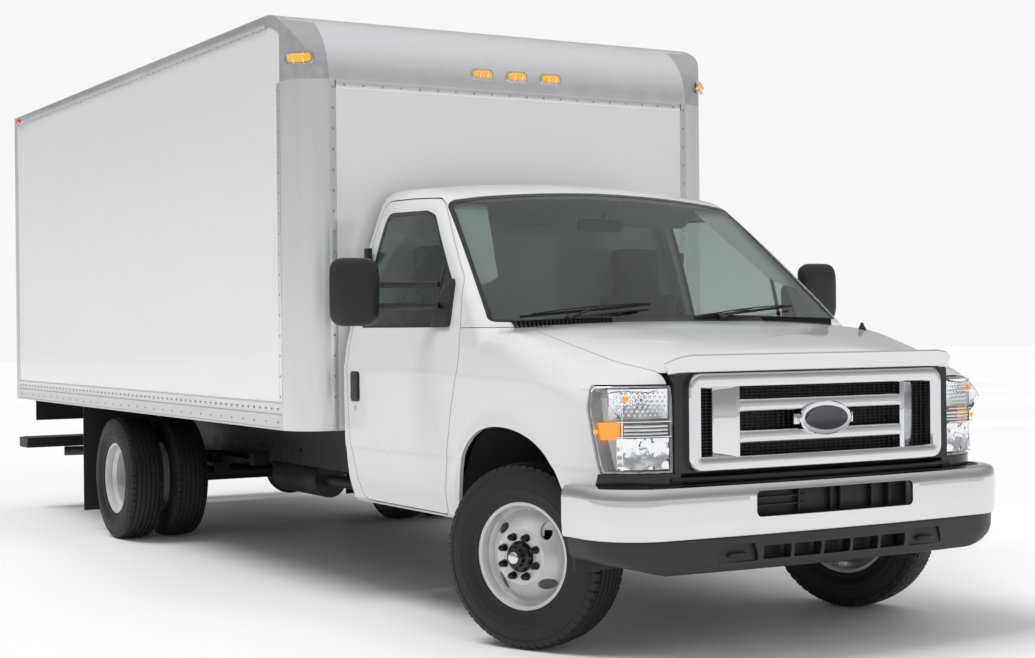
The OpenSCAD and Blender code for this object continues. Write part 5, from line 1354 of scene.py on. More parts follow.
class TRUCK_OT_fittings(bpy.types.Operator):
    """Build the mirrors, handles, wipers, cowl, mouldings and antenna base"""

    bl_idname = "truck.fittings"
    bl_label = "Outside fittings"

    def execute(self, context):
        plastic = F["black plastic"]
        for sign, side in SIDES:
            body = "door_" + side
            # Mirror head
            u, v = np.meshgrid(np.linspace(-math.pi / 2, math.pi / 2, 26), np.arange(48) * 2 * math.pi / 48,
                               indexing="ij")

            def power(t, e):
                return np.sign(t) * np.abs(t) ** e

            hx, hy, hz = 0.1165, 0.042, 0.147
            px = power(np.cos(u), 0.45) * power(np.cos(v), 0.42) * hx
            pz = power(np.cos(u), 0.45) * power(np.sin(v), 0.42) * hz
            py = power(np.sin(u), 0.75) * hy
            py = np.where(py > 0, py * 0.45, py * 1.10)
            px = px * (1 - 0.06 * (py < -0.01))
            head = np.stack([sign * (MIRROR_X + px), 0.752 + py, 1.440 + pz], -1).reshape(-1, 3)
            piece("mirror_head_" + side, [(head, sheet_faces(26, 48, wrap_cols=True))], plastic, body,
                  60, ["mirror_" + side])
            # A tall pane above and a wide-angle one below, in a rim with an opening for each
            def pane(width, height, radius, z, front, back):
                return extruded(box_outline(width, height, radius, 6, (sign * MIRROR_X, z)), front, back, "y")

            glass = [pane(0.190, 0.160, 0.03, 1.492, 0.7695, 0.7735),
                     pane(0.190, 0.072, 0.025, 1.356, 0.7695, 0.7735)]
            piece("mirror_glass_" + side, glass, F["mirror"], body, bevel=0.001)
            rim = solid("mirror_rim_" + side, pane(0.214, 0.272, 0.04, 1.440, 0.762, 0.7725))
            cut(rim, solid("upper opening", pane(0.192, 0.162, 0.03, 1.492, 0.7, 0.9)),
                solid("lower opening", pane(0.192, 0.074, 0.025, 1.356, 0.7, 0.9)))
            finish_piece(rim, plastic, body)
            # Arms and foot
            arms = []
            for z in (1.378, 1.470):
                path = smoothed([(sign * 1.215, 0.748, z), (sign * 1.120, 0.720, z), (sign * 1.030, 0.640, z),
                                 (sign * 0.975, 0.560, z)], 8)
                arms.append(swept(path, round_bar(0.030, 0.026, 0.012),
                                  scale=np.linspace(1.15, 0.95, len(path))))
            piece("mirror_arms_" + side, arms, plastic, body, 45)
            foot_line = rounded([(0.470, 1.286), (0.640, 1.286), (0.600, 1.455), (0.520, 1.500),
                                 (0.500, 1.470)],
                                [0.02, 0.03, 0.04, 0.02, 0.02], 5)
            foot = solid("mirror_foot_" + side, form_skin(-0.014, 0.45))
            inner = solid("foot back", form_skin(0.004, 0.45))
            cut(foot, inner)
            span = (-1.3, -0.4) if sign < 0 else (0.4, 1.3)
            cut(foot, prism("foot line", foot_line, *span), how="INTERSECT")
            soften(foot, 0.004, 2, 40)
            finish_piece(foot, plastic, body, 40)
            # Door handle: a black recessed paddle and the lock below it
            x = sign * 1.0075
            plate = extruded(box_outline(0.096, 0.140, 0.018, 5, (1.3375, 1.0135)), x - 0.003, x + 0.003, "x")
            paddle = swept([(x + sign * 0.004, 1.325, z) for z in (0.955, 0.975, 1.010, 1.050, 1.072)],
                           [(-0.026, -0.003), (0.026, -0.003), (0.026, 0.003), (0.018, 0.006),
                            (-0.018, 0.006), (-0.026, 0.003)], up=(sign, 0, 0))
            piece("door_handle_" + side, [plate, paddle], plastic, body, bevel=0.0012)
            piece("door_lock_" + side,
                  [rod((x - sign * 0.001, 1.335, 0.915), (x + sign * 0.0025, 1.335, 0.915), 0.012,
                       24, 0.001)], F["chrome"], body)
        # Cowl: a black louvred panel at the windshield's foot
        xs = np.linspace(-0.90, 0.90, 61)
        foot_y = screen_foot(xs)
        rows = []
        for k, (dy, dz) in enumerate(((-0.038, -0.004), (-0.030, 0.006), (0.0, 0.010), (0.030, 0.028),
                                      (0.040, 0.036), (0.040, 0.020), (-0.038, -0.020))):
            rows.append(np.stack([xs, np.maximum(foot_y + dy, 0.045),
                                  1.292 - hood_fall(0.05) * (np.abs(xs) / 0.85) ** 3 + dz], 1))
        grid_points = np.array(rows)
        faces = sheet_faces(7, 61, wrap_rows=True)
        faces += [tuple(i * 61 for i in range(7)), tuple(i * 61 + 60 for i in range(6, -1, -1))]
        piece("cowl_panel", [(grid_points.reshape(-1, 3), faces)], plastic, "chassis", 40)
        slats = []
        for x in np.concatenate([np.linspace(-0.84, -0.42, 24), np.linspace(0.42, 0.84, 24)]):
            y = screen_foot(x)
            slats.append(block((x - 0.004, y - 0.022, 1.270),
                               (x + 0.004, y + 0.028, 1.3215 - 0.020 * abs(x) ** 3)))
        piece("cowl_slats", slats, F["black gloss"], "chassis", bevel=0.001)

        # Wipers lie along the glass near its foot
        def on_glass(x, v, lift):
            y = screen_foot(x)
            base = Vector((x, y, 1.29))
            return tuple(base + SLOPE * v + RISE * lift)

        arms, blades = [], []
        for pivot, tip_low, tip_high, elbow in ((-0.60, (-0.80, 0.045), (-0.16, 0.125), (-0.44, 0.082)),
                                                (0.16, (0.02, 0.030), (0.66, 0.110), (0.36, 0.070))):
            start = 0.020
            arms.append(swept(smoothed([on_glass(pivot, start, 0.016),
                                        on_glass((pivot + elbow[0]) / 2, (start + elbow[1]) / 2, 0.030),
                                        on_glass(elbow[0], elbow[1], 0.030)], 8),
                              round_bar(0.016, 0.008, 0.003), scale=np.linspace(1.3, 0.8, 17)))
            arms.append(rod(on_glass(pivot, start, 0.0), on_glass(pivot, start, 0.034), 0.018, 24, 0.004))

            def along(t, lift):
                x, v = (low + (high - low) * t for low, high in zip(tip_low, tip_high))
                return on_glass(x, v, lift)

            line = [along(t, 0.010) for t in np.linspace(0, 1, 20)]
            blades.append(swept(line, round_bar(0.006, 0.012, 0.002)))
            bow = [along(t, 0.016 + 0.012 * math.sin(math.pi * t)) for t in np.linspace(0.08, 0.92, 20)]
            blades.append(swept(bow, round_bar(0.010, 0.005, 0.002)))
        piece("wiper_arms", arms, F["black gloss"], "chassis")
        piece("wiper_blades", blades, F["rubber"], "chassis")
        # Antenna base on the left fender
        piece("antenna_base",
              [turned([(1e-4, -0.012), (0.020, -0.010), (0.019, 0.004), (0.012, 0.016), (0.007, 0.030),
                       (0.004, 0.034), (1e-4, 0.034)], 28, (0.855, -0.06, 1.255), (0, 0.06, 1))],
              plastic, "chassis")
        # Wheel arch liners
        for sign, side in SIDES:
            line, back = (grown(ARCH, by)[1:-1] for by in (0.006, 0.012))
            n = len(line)
            inner, outer = 0.60, 0.955 + 0.010
            points = []
            for x, edge in ((inner, line), (outer, line), (outer, back), (inner, back)):
                points += [(sign * x, y, z) for y, z in edge]
            faces = sheet_faces(4, n, wrap_rows=True)
            faces += [tuple(k * n for k in (3, 2, 1, 0)), tuple(k * n + n - 1 for k in range(4))]
            piece("arch_liner_" + side, [(points, faces)], plastic, "chassis", 40)
        return {"FINISHED"}


# ---------------------------------------------------------------- cargo body


def body_lines():
    """The cargo body's main planes, from its CAD nodes and measured from the front axle."""
    rails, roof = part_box("box_rails"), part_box("box_roof")
    wall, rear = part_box("box_front_wall"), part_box("rear_door_frame")
    return {"half": rails[1].x, "low": rails[0].z, "high": roof[1].z, "front": wall[0].y - AXLE,
            "frame": rear[0].y - AXLE, "rear": rear[1].y - AXLE}


def placed_part(part, centre, across, up):
    """A part drawn with x across, y up and z outwards, set on a surface."""
    across, up = Vector(across).normalized(), Vector(up).normalized()
    out = across.cross(up)
    turn = np.array([across, up, out])
    points, faces = part
    return np.array(points, float).reshape(-1, 3) @ turn + np.array(centre, float), faces


def dome(rx, ry, rz, flat=0.5, rows=10, count=40, square=0.55):
    """A lens: a rounded block that bulges outwards from its back plane."""
    points = []
    for i in range(rows):
        t = i / (rows - 1) * math.pi / 2
        k, h = math.cos(t) ** flat, math.sin(t)
        if i == rows - 1:
            k = 0.02
        for j in range(count):
            a = j * 2 * math.pi / count
            c, s = math.cos(a), math.sin(a)
            points.append((rx * k * math.copysign(abs(c) ** square, c),
                           ry * k * math.copysign(abs(s) ** square, s), rz * h))
    faces = sheet_faces(rows, count, wrap_cols=True)
    faces += [tuple(range(count - 1, -1, -1)), tuple((rows - 1) * count + j for j in range(count))]
    return points, faces


def rivets(lines, radius=0.0065, height=0.003):
    """Domed rivets along lines: each line is (start, end, spacing, outward direction)."""
    parts = []
    for start, end, spacing, out in lines:
        start, end = np.array(start, float), np.array(end, float)
        count = max(2, int(round(np.linalg.norm(end - start) / spacing)) + 1)
        for t in np.linspace(0, 1, count):
            parts.append(turned([(radius, -0.0005), (radius, 0.0004), (radius * 0.72, height * 0.75),
                                 (1e-4, height)],
                                8, start + (end - start) * t, out))
    return parts


# A riveted sheet stands this far off the one below it.
SHEET_LAP = 0.0022


class TRUCK_OT_body(bpy.types.Operator):
    """Trim the cargo body: rails, flanges, rivets, lamps and rear door hardware"""

    bl_idname = "truck.body"
    bl_label = "Cargo body trim"

    def execute(self, context):
        b = body_lines()
        half, low, high, front, frame_y, rear = (b[k] for k in ("half", "low", "high", "front", "frame",
                                                                "rear"))
        corner_r, nose_r = 0.177, 0.339
        cx, cy = half - corner_r, front + corner_r
        ny, nz = front + nose_r, high - nose_r
        mill, bright = F["mill aluminium"], F["bright aluminium"]
        for sign, side in SIDES:
            x = sign * half

            def strip(shape, start, end):
                """A rail along the body's side; shape is (outwards, height) pairs."""
                return swept([(x, start, 0), (x, (start + end) / 2, 0), (x, end, 0)],
                             [(sign * a, z) for a, z in shape],
                             up=(0, 0, 1))

            lower = [(-0.002, low + 0.001), (0.005, low + 0.001), (0.005, low + 0.010), (0.0025, low + 0.013),
                     (0.0025, low + 0.060), (0.0055, low + 0.064), (0.0055, low + 0.074),
                     (0.0025, low + 0.078),
                     (0.0025, low + 0.122), (0.0045, low + 0.126), (0.0040, low + 0.133),
                     (-0.002, low + 0.134)]
            upper = [(-0.002, high - 0.064), (0.003, high - 0.063), (0.003, high - 0.050),
                     (0.0045, high - 0.046),
                     (0.0045, high - 0.012), (0.001, high - 0.003), (-0.012, high + 0.0005),
                     (-0.014, high - 0.01)]
            piece("side_lower_rail_" + side, [strip(lower, cy + 0.004, frame_y)], mill, "chassis",
                  30)
            piece("side_upper_rail_" + side, [strip(upper, ny, frame_y)], mill, "chassis",
                  30)
            # Flanges of the corner post, down both of its edges
            flange = [block((x if sign > 0 else x - SHEET_LAP, cy - 0.002, low + 0.004),
                            (x + SHEET_LAP if sign > 0 else x, cy + 0.034, nz)),
                      block((min(sign * cx, sign * (cx - 0.036)), front - SHEET_LAP, low + 0.004),
                            (max(sign * cx, sign * (cx - 0.036)), front + 0.001, nz + 0.02))]
            piece("corner_post_flanges_" + side, flange, bright, "chassis", bevel=0.0006)
            out = (sign, 0, 0)
            lines = [((x + sign * 0.0040, cy + 0.05, low + 0.100),
                      (x + sign * 0.0040, frame_y - 0.05, low + 0.100), 0.076, out),
                     ((x + sign * 0.0025, cy + 0.05, low + 0.036),
                      (x + sign * 0.0025, frame_y - 0.05, low + 0.036), 0.152, out),
                     ((x + sign * 0.003, ny + 0.05, high - 0.057),
                      (x + sign * 0.003, frame_y - 0.05, high - 0.057), 0.100, out),
                     ((x + sign * SHEET_LAP, cy + 0.018, low + 0.16),
                      (x + sign * SHEET_LAP, cy + 0.018, nz - 0.04), 0.100, out),
                     ((sign * (cx - 0.018), front - SHEET_LAP, low + 0.16),
                      (sign * (cx - 0.018), front - SHEET_LAP, nz - 0.03), 0.100, (0, -1, 0))]
            piece("side_rivets_" + side, rivets(lines), F["steel"], "chassis", 50)
        # Front: the seam below the rounded nose, and the roof's seam behind it
        seam = [block((-cx + 0.03, front - SHEET_LAP, nz - 0.034), (cx - 0.03, front + 0.001, nz + 0.004)),
                block((-cx, ny - 0.004, high - 0.001), (cx, ny + 0.036, high + 0.0020))]
        piece("nose_seams", seam, bright, "chassis", bevel=0.0006)
        lines = [((-cx + 0.08, front - SHEET_LAP, nz - 0.016), (cx - 0.08, front - SHEET_LAP, nz - 0.016),
                  0.100, (0, -1, 0)),
                 ((-cx + 0.05, ny + 0.016, high + 0.002), (cx - 0.05, ny + 0.016, high + 0.002), 0.100,
                  (0, 0, 1))]
        piece("nose_rivets", rivets(lines), F["steel"], "chassis", 50)
        # Roof bows show faintly through the thin roof sheet
        bows = [block((-half + 0.05, y - 0.020, high - 0.002), (half - 0.05, y + 0.020, high + 0.0012))
                for y in np.arange(ny + 0.45, frame_y - 0.2, 0.61)]
        piece("roof_bow_lines", bows, F["roof sheet"], "chassis", bevel=0.0008)

        # Marker lamps
        def marker(name, centre, across, up, lens, w=0.142, h=0.058):
            base = extruded(box_outline(w, h, 0.022, 6), 0.0, 0.007, "z")
            bezel = swept(np.array([(px, py, 0.009) for px,
                                    py in box_outline(w - 0.012, h - 0.012, 0.020, 6)]),
                          [(-0.004, -0.003), (0.004, -0.003), (0.003, 0.004), (-0.003, 0.004)], closed=True)
            bars = [swept([(px, -h * 0.40, 0.012), (px, 0, 0.0285), (px, h * 0.40, 0.012)],
                          [(-0.0025, -0.0015), (0.0025, -0.0015), (0.0025, 0.0015), (-0.0025, 0.0015)],
                          up=(0.0, 0.2, 1)) for px in (-w * 0.17, w * 0.17)]
            glow = dome(w * 0.41, h * 0.33, 0.024)
            fit = [placed_part(p, centre, across, up) for p in [base, bezel, *bars]]
            piece(name + "_guard", fit, F["chrome"], "chassis", 40)
            piece(name + "_lens", [placed_part(glow, centre, across, up)], F[lens], "chassis",
                  60)

        z = high - 0.256
        lean = math.asin((z - nz) / nose_r)
        y = ny - nose_r * math.cos(lean)
        for i in (-1, 0, 1):
            marker("nose_lamp_" + str(i + 2), (-i * 0.200, y, z), (1, 0, 0),
                   (0, math.sin(lean), math.cos(lean)), "amber", w=0.128)
        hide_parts("lamps")
        turn = math.radians(45)
        for sign, side in SIDES:
            zc = nz + 0.105
            k = math.cos(math.asin(0.105 / nose_r))
            reach = corner_r + 0.001
            spot = (sign * (cx + reach * math.sin(turn)), cy - reach * math.cos(turn), zc)
            marker("corner_lamp_" + side, spot, (math.cos(turn), sign * math.sin(turn), 0), (0, 0, 1),
                   "amber", w=0.150, h=0.062)
            marker("upper_rear_lamp_" + side, (sign * (half + 0.0045), rear - 0.175, high - 0.033),
                   (0, sign, 0), (0, 0, 1), "red lens", w=0.150, h=0.044)
            # Tail lamps: a red one above and below, and a clear one between them
            xc = sign * (half - 0.012 + 1.08 + 0.034) / 2
            for zl, look in ((low + 0.232, "red lens"), (low + 0.068, "red lens"),
                             (low + 0.150, "clear lens")):
                tall = 0.074 if look == "red lens" else 0.052
                base = extruded(box_outline(0.086, tall + 0.012, 0.014, 5), 0.0, 0.010, "z")
                lens = dome(0.036, tall / 2, 0.018, flat=0.35)
                name = "tail_lamp_" + side + "_" + str(int(zl * 1000))
                piece(name + "_base", [placed_part(base, (xc, rear, zl), (-1, 0, 0), (0, 0, 1))],
                      F["black plastic"], "chassis", bevel=0.001)
                piece(name + "_lens", [placed_part(lens, (xc, rear + 0.010, zl), (-1, 0, 0), (0, 0, 1))],
                      F[look], "chassis", 60)
        for i in (-1, 0, 1):
            marker("rear_header_lamp_" + str(i + 2), (i * 0.17, rear + 0.0005, high - 0.075), (-1, 0, 0),
                   (0, 0, 1), "red lens", w=0.110, h=0.036)
        # Rear door: hinges between its panels, the latch, its bar and the pull strap
        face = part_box("rear_door")[1].y - AXLE
        floor_z = 0.905
        panel = (1.640 + 0.030) / 6
        skin = face - 0.014
        hinges, screws = [], []
        for i in range(1, 6):
            for xh in (-0.98, -0.33, 0.33, 0.98):
                zc = floor_z + i * panel
                hinges.append(block((xh - 0.035, skin - 0.001, zc - 0.040),
                                    (xh + 0.035, skin + 0.003, zc + 0.040), 0.0))
                hinges.append(rod((xh - 0.035, skin + 0.004, zc), (xh + 0.035, skin + 0.004, zc), 0.0055, 16,
                                  0.001))
                screws += [((xh - 0.022, skin + 0.003, zc + d), (xh + 0.022, skin + 0.003, zc + d), 0.044,
                            (0, 1, 0))
                           for d in (-0.026, 0.026)]
        piece("rear_door_hinges", hinges, F["steel"], "chassis", bevel=0.0006)
        piece("rear_door_screws", rivets(screws, 0.005, 0.002), F["steel"], "chassis", 50)
        latch = [block((-0.075, skin, floor_z + 0.085), (0.075, skin + 0.004, floor_z + 0.205)),
                 swept(smoothed([(0.0, skin + 0.006, floor_z + 0.185), (0.045, skin + 0.020, floor_z + 0.170),
                                 (0.055, skin + 0.024, floor_z + 0.110),
                                 (0.052, skin + 0.010, floor_z + 0.030)], 8),
                       round_bar(0.016, 0.010, 0.004), up=(0, 1, 0)),
                 rod((0, skin, floor_z + 0.185), (0, skin + 0.018, floor_z + 0.185), 0.016, 24, 0.002),
                 block((-0.020, skin, floor_z + 0.010), (0.075, skin + 0.012, floor_z + 0.060), 0.0)]
        piece("rear_door_latch", latch, F["chrome"], "chassis", bevel=0.0012)
        strap = swept(smoothed([(-0.42, skin + 0.004, floor_z + 0.30), (-0.425, skin + 0.012, floor_z + 0.22),
                                (-0.418, skin + 0.010, floor_z + 0.12),
                                (-0.422, skin + 0.006, floor_z + 0.05)], 8),
                      [(-0.019, -0.0012), (0.019, -0.0012), (0.019, 0.0012), (-0.019, 0.0012)], up=(0, 1, 0))
        piece("rear_door_pull_strap", [strap], F["webbing"], "chassis", 40)
        seals = []
        for sign in (-1, 1):
            seals.append(block((sign * 1.072 - 0.008, face - 0.012, floor_z),
                               (sign * 1.072 + 0.008, face + 0.004,
                                floor_z + 1.64)))
        seals.append(block((-1.07, face - 0.012, floor_z + 1.630), (1.07, face + 0.004, floor_z + 1.644)))
        piece("rear_door_seal", seals, F["rubber"], "chassis", bevel=0.002)
        # Rear step: a serrated tread
        top = 0.510
        y0, y1 = rear + 0.012, rear + 0.198
        teeth = []
        for y in np.linspace(y0 + 0.008, y1 - 0.008, 8):
            teeth.append(block((-1.125, y - 0.003, top - 0.004), (1.125, y + 0.003, top + 0.004)))
        for x in np.linspace(-1.12, 1.12, 57):
            teeth.append(block((x - 0.0025, y0, top - 0.004), (x + 0.0025, y1, top + SHEET_LAP)))
        piece("rear_step_tread", teeth, F["galvanised"], "chassis", bevel=0.0005)
        pads = [block((sign * 1.00 - 0.055, rear + 0.2095, 0.452),
                      (sign * 1.00 + 0.055, rear + 0.2145, 0.498), 0.0)
                for sign in (-1, 1)]
        piece("rear_step_reflectors", pads, F["red lens"], "chassis", bevel=0.001)
        # Grab handles beside the rear door
        for sign, side in SIDES:
            xg = sign * 1.150
            grip = smoothed([(xg, rear, 1.30), (xg, rear + 0.045, 1.32), (xg, rear + 0.048, 1.50),
                             (xg, rear + 0.045, 1.68), (xg, rear, 1.70)], 8)
            piece("rear_grab_handle_" + side, [swept(grip, round_bar(0.018, 0.018, 0.008), up=(1, 0, 0)),
                                               block((xg - 0.02, rear, 1.27), (xg + 0.02, rear + 0.004, 1.33),
                                                     0.0),
                                               block((xg - 0.02, rear, 1.67), (xg + 0.02, rear + 0.004, 1.73),
                                                     0.0)],
                  F["chrome"], "chassis", 50)
        return {"FINISHED"}


# ---------------------------------------------------------------- cabin


def cushion(name, parts, voxel=0.006, pressure=3.5, cap=0.018):
    """A padded piece: its blocks are joined, swelled as cloth, and smoothed."""
    thing = solid(name, parts)
    remesh = thing.modifiers.new("skin", "REMESH")
    remesh.mode, remesh.voxel_size = "VOXEL", voxel
    settle(thing)
    smooth = thing.modifiers.new("smooth", "SMOOTH")
    smooth.factor, smooth.iterations = 0.5, 6
    settle(thing)
    scene = bpy.context.scene
    count = len(thing.data.vertices)
    start = np.empty(count * 3, np.float32)
    thing.data.vertices.foreach_get("co", start)
    cloth = thing.modifiers.new("cloth", "CLOTH")
    cloth.settings.quality = 4
    cloth.settings.mass = 0.3
    cloth.settings.tension_stiffness = 25
    cloth.settings.compression_stiffness = 25
    cloth.settings.bending_stiffness = 2
    cloth.settings.use_pressure = True
    cloth.settings.uniform_pressure_force = pressure
    cloth.settings.effector_weights.gravity = 0
    cloth.point_cache.frame_start, cloth.point_cache.frame_end = 1, 20
    for frame_number in range(1, 17):
        scene.frame_set(frame_number)
    settle(thing)
    scene.frame_set(1)
    end = np.empty(count * 3, np.float32)
    thing.data.vertices.foreach_get("co", end)
    move = (end - start).reshape(-1, 3)
    length = np.linalg.norm(move, axis=1)
    move *= np.minimum(1, cap / np.maximum(length, 1e-9))[:, None]
    thing.data.vertices.foreach_set("co", (start.reshape(-1, 3) + move).ravel())
    thing.data.update()
    smooth = thing.modifiers.new("smooth", "SMOOTH")
    smooth.factor, smooth.iterations = 0.5, 3
    settle(thing)
    return thing


def tilted(part, centre, degrees):
    """A part leaned back about a line across the truck."""
    a = math.radians(degrees)
    points = np.array(part[0], float).reshape(-1, 3) - np.array(centre)
    y = points[:, 1] * math.cos(a) + points[:, 2] * math.sin(a)
    z = -points[:, 1] * math.sin(a) + points[:, 2] * math.cos(a)
    return np.stack([points[:, 0], y, z], 1) + np.array(centre), part[1]


def pad(size, centre, radius=0.05):
    """A cushion's blank: a rounded block with crowned faces."""
    w, d, h = size
    outline = box_outline(w, d, radius, 5)
    points, rows = [], [(-h / 2, 0.90), (-h / 2 + 0.02, 0.985), (0.0, 1.0), (h / 2 - 0.02, 0.985),
                        (h / 2, 0.90)]
    for z, k in rows:
        points += [(x * k, y * k, z) for x, y in outline]
    n = len(outline)
    faces = sheet_faces(5, n, wrap_cols=True)
    faces += [tuple(range(n - 1, -1, -1)), tuple(4 * n + j for j in range(n))]
    return np.array(points) + np.array(centre), faces


class TRUCK_OT_cabin(bpy.types.Operator):
    """Build the seats, dashboard, steering wheel and cabin trim"""

    bl_idname = "truck.cabin"
    bl_label = "Cabin"

    def execute(self, context):
        low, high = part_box("seats")
        top = high.z
        seat_x = 0.560
        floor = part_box("cab_floor")[1].z
        front_y, back_y = low.y - AXLE, high.y - AXLE
        base_z = 0.820
        squab = [pad((0.300, 0.440, 0.115), (0, front_y + 0.235, base_z + 0.050), 0.05),
                 pad((0.080, 0.450, 0.150), (-0.178, front_y + 0.235, base_z + 0.055), 0.03),
                 pad((0.080, 0.450, 0.150), (0.178, front_y + 0.235, base_z + 0.055), 0.03)]
        lean = math.degrees(math.atan2(0.10, 0.72))
        back_foot = (0, back_y - 0.185, base_z + 0.10)
        tall = top - back_foot[2]
        rest = []
        for w, t, h, x, z0 in ((0.290, 0.085, 0.56, 0.0, 0.02), (0.080, 0.125, 0.50, -0.176, 0.02),
                               (0.080, 0.125, 0.50, 0.176, 0.02), (0.270, 0.090, 0.20, 0.0, tall - 0.215)):
            part = pad((w, t, h), (0, 0, 0), 0.036)
            points = part[0] + np.array([x, back_foot[1], back_foot[2] + z0 + h / 2])
            rest.append(tilted((points, part[1]), back_foot, lean))
        for label, parts, cap in (("seat_cushion", squab, 0.016), ("seat_back", rest, 0.014)):
            thing = cushion(label, parts, cap=cap)
            other = copy_of(thing, label + "_left")
            thing.name = label + "_right"
            thing.data.transform(Matrix.Translation((-seat_x, 0, 0)))
            other.data.transform(Matrix.Translation((seat_x, 0, 0)))
            for one in (thing, other):
                finish_piece(one, F["seat cloth"], "chassis", 80,
                             ["seats"] if label == "seat_cushion" and one is thing else ())
        # Seat pedestals, shells and belts' buckles
        for sign, side in SIDES:
            x = sign * seat_x
            ped = [block((x - 0.175, front_y + 0.05, floor), (x + 0.175, front_y + 0.40, floor + 0.04), 0.02),
                   block((x - 0.150, front_y + 0.07, floor + 0.04),
                         (x + 0.150, front_y + 0.38, base_z - 0.016), 0.03),
                   block((x - 0.215, front_y + 0.03, base_z - 0.016),
                         (x + 0.215, front_y + 0.45, base_z - 0.002), 0.04)]
            piece("seat_pedestal_" + side, ped, F["dark trim"], "chassis", bevel=0.004)
            strap = smoothed([(sign * 0.900, 1.395, 1.62), (sign * 0.890, 1.392, 1.30),
                              (sign * 0.870, 1.390, 0.96)], 10)
            piece("seat_belt_" + side, [swept(strap, [(-0.0010, -0.023), (0.0010, -0.023), (0.0010, 0.023),
                                                      (-0.0010, 0.023)], up=(0, 1, 0)),
                                        block((sign * 0.905 - 0.012, 1.375, 1.600),
                                              (sign * 0.905 + 0.012, 1.420, 1.660),
                                              0.006)], F["webbing"], "chassis", 40)
        # Dashboard
        section = smoothed([(0.300, 1.020), (0.255, 1.150), (0.262, 1.245), (0.330, 1.272), (0.440, 1.272),
                            (0.540, 1.252), (0.600, 1.205), (0.612, 1.130), (0.590, 1.050), (0.500, 1.005),
                            (0.380, 1.000)], 5, closed=True)
        dash = solid("dashboard_top", extruded(section, -0.862, 0.862, "x"))
        cut(dash, prism("wheel room", grown(ARCH, 0.014), -1.3, 1.3),
            screen_prism("screen room", grown(SCREEN, 0.25), low=-0.018, high=0.5))
        soften(dash, 0.006, 3, 40)
        finish_piece(dash, F["dark trim"], "chassis", 40, ["dashboard"])
        # Toe board and firewall, down to the floor
        wall = [(0.412, 1.010), (0.418, 0.830), (0.470, 0.745), (0.575, 0.692), (0.575, 0.686),
                (0.464, 0.739), (0.410, 0.826), (0.404, 1.010)]
        toe = solid("toe_board", extruded(wall, -0.930, 0.930, "x"))
        cut(toe, prism("wheel room", grown(ARCH, 0.014), -1.3, 1.3))
        finish_piece(toe, F["carpet"], "chassis", 40)
        pedals = [block((0.440, 0.500, 0.800), (0.500, 0.512, 0.870), 0.0),
                  block((0.580, 0.520, 0.760), (0.625, 0.532, 0.880), 0.0),
                  rod((0.470, 0.506, 0.860), (0.470, 0.440, 1.010), 0.007, 12, 0.001),
                  rod((0.602, 0.526, 0.870), (0.602, 0.450, 1.010), 0.006, 12, 0.001)]
        piece("pedals", pedals, F["rubber"], "chassis", bevel=0.003)
        binnacle = swept(smoothed([(0.235, 0.585, 1.235), (0.280, 0.575, 1.285), (0.460, 0.565, 1.312),
                                   (0.640, 0.575, 1.285), (0.685, 0.585, 1.235)], 8),
                         [(-0.055, -0.010), (0.060, -0.010), (0.066, 0.0), (0.055, 0.010), (-0.060, 0.006)],
                         up=(0, 0.3, 1))
        piece("instrument_hood", [binnacle], F["dark trim"], "chassis", 40)
        face = [block((0.270, 0.604, 1.120), (0.650, 0.616, 1.235), 0.0)]
        piece("instrument_face", face, F["black gloss"], "chassis", bevel=0.002)
        vents = []
        for x in (-0.76, -0.30, 0.12, 0.76):
            for k in range(5):
                vents.append(block((x - 0.055, 0.602, 1.140 + 0.014 * k),
                                   (x + 0.055, 0.618, 1.146 + 0.014 * k)))
        piece("dash_vents", vents, F["black plastic"], "chassis", bevel=0.001)
        stack = [block((-0.190, 0.560, 0.880), (0.130, 0.622, 1.110), 0.0)]
        piece("centre_stack", stack, F["dark trim"], "chassis", bevel=0.008)
        knobs = [rod((x, 0.618, 0.925), (x, 0.640, 0.925), 0.018, 24, 0.003) for x in (-0.13, -0.03, 0.07)]
        knobs.append(block((-0.150, 0.616, 0.985), (0.090, 0.628, 1.060), 0.0))
        piece("heater_and_radio_controls", knobs, F["black gloss"], "chassis", bevel=0.0015)
        # Steering wheel and column
        j = joint("steering_wheel_turn")
        centre = np.array(j["pos_m"], float) - np.array([0, AXLE, 0])
        axis = np.array(j["axis"], float)
        if axis[2] < 0:
            axis = -axis
        middle = centre
        a, reach = Vector(axis).normalized(), 0.180
        across = Vector((1, 0, 0))
        other = a.cross(across)
        ring = [tuple(Vector(middle) + across * math.cos(t) * reach + other * math.sin(t) * reach)
                for t in np.linspace(0, 2 * math.pi, 72, endpoint=False)]
        grip = [(0.0145 * math.cos(t), 0.0145 * math.sin(t))
                for t in np.linspace(0, 2 * math.pi, 16, endpoint=False)]
        parts = [swept(ring, grip, closed=True, up=tuple(a))]
        for t in (math.pi, 0.0, -math.pi / 2):
            d = across * math.cos(t) + other * math.sin(t)
            path = [tuple(Vector(middle) + d * r - a * dip) for r,
                    dip in ((0.050, 0.020), (0.110, 0.014), (0.174, 0.0))]
            parts.append(swept(path, round_bar(0.036, 0.014, 0.006), up=tuple(a), scale=[1.25, 0.9, 0.75]))
        parts.append(turned([(1e-4, -0.040), (0.050, -0.040), (0.062, -0.020), (0.066, 0.0), (0.058, 0.012),
                             (0.030, 0.018), (1e-4, 0.019)], 48, middle, axis))
        piece("steering_wheel_rim", parts, F["dark trim"], "steering_wheel", 50,
              ["steering_wheel"])
        column = [rod(tuple(Vector(middle) - a * 0.048), tuple(Vector(middle) - a * 0.20), 0.034, 32, 0.006)]
        piece("steering_column", column, F["dark trim"], "chassis", 40)
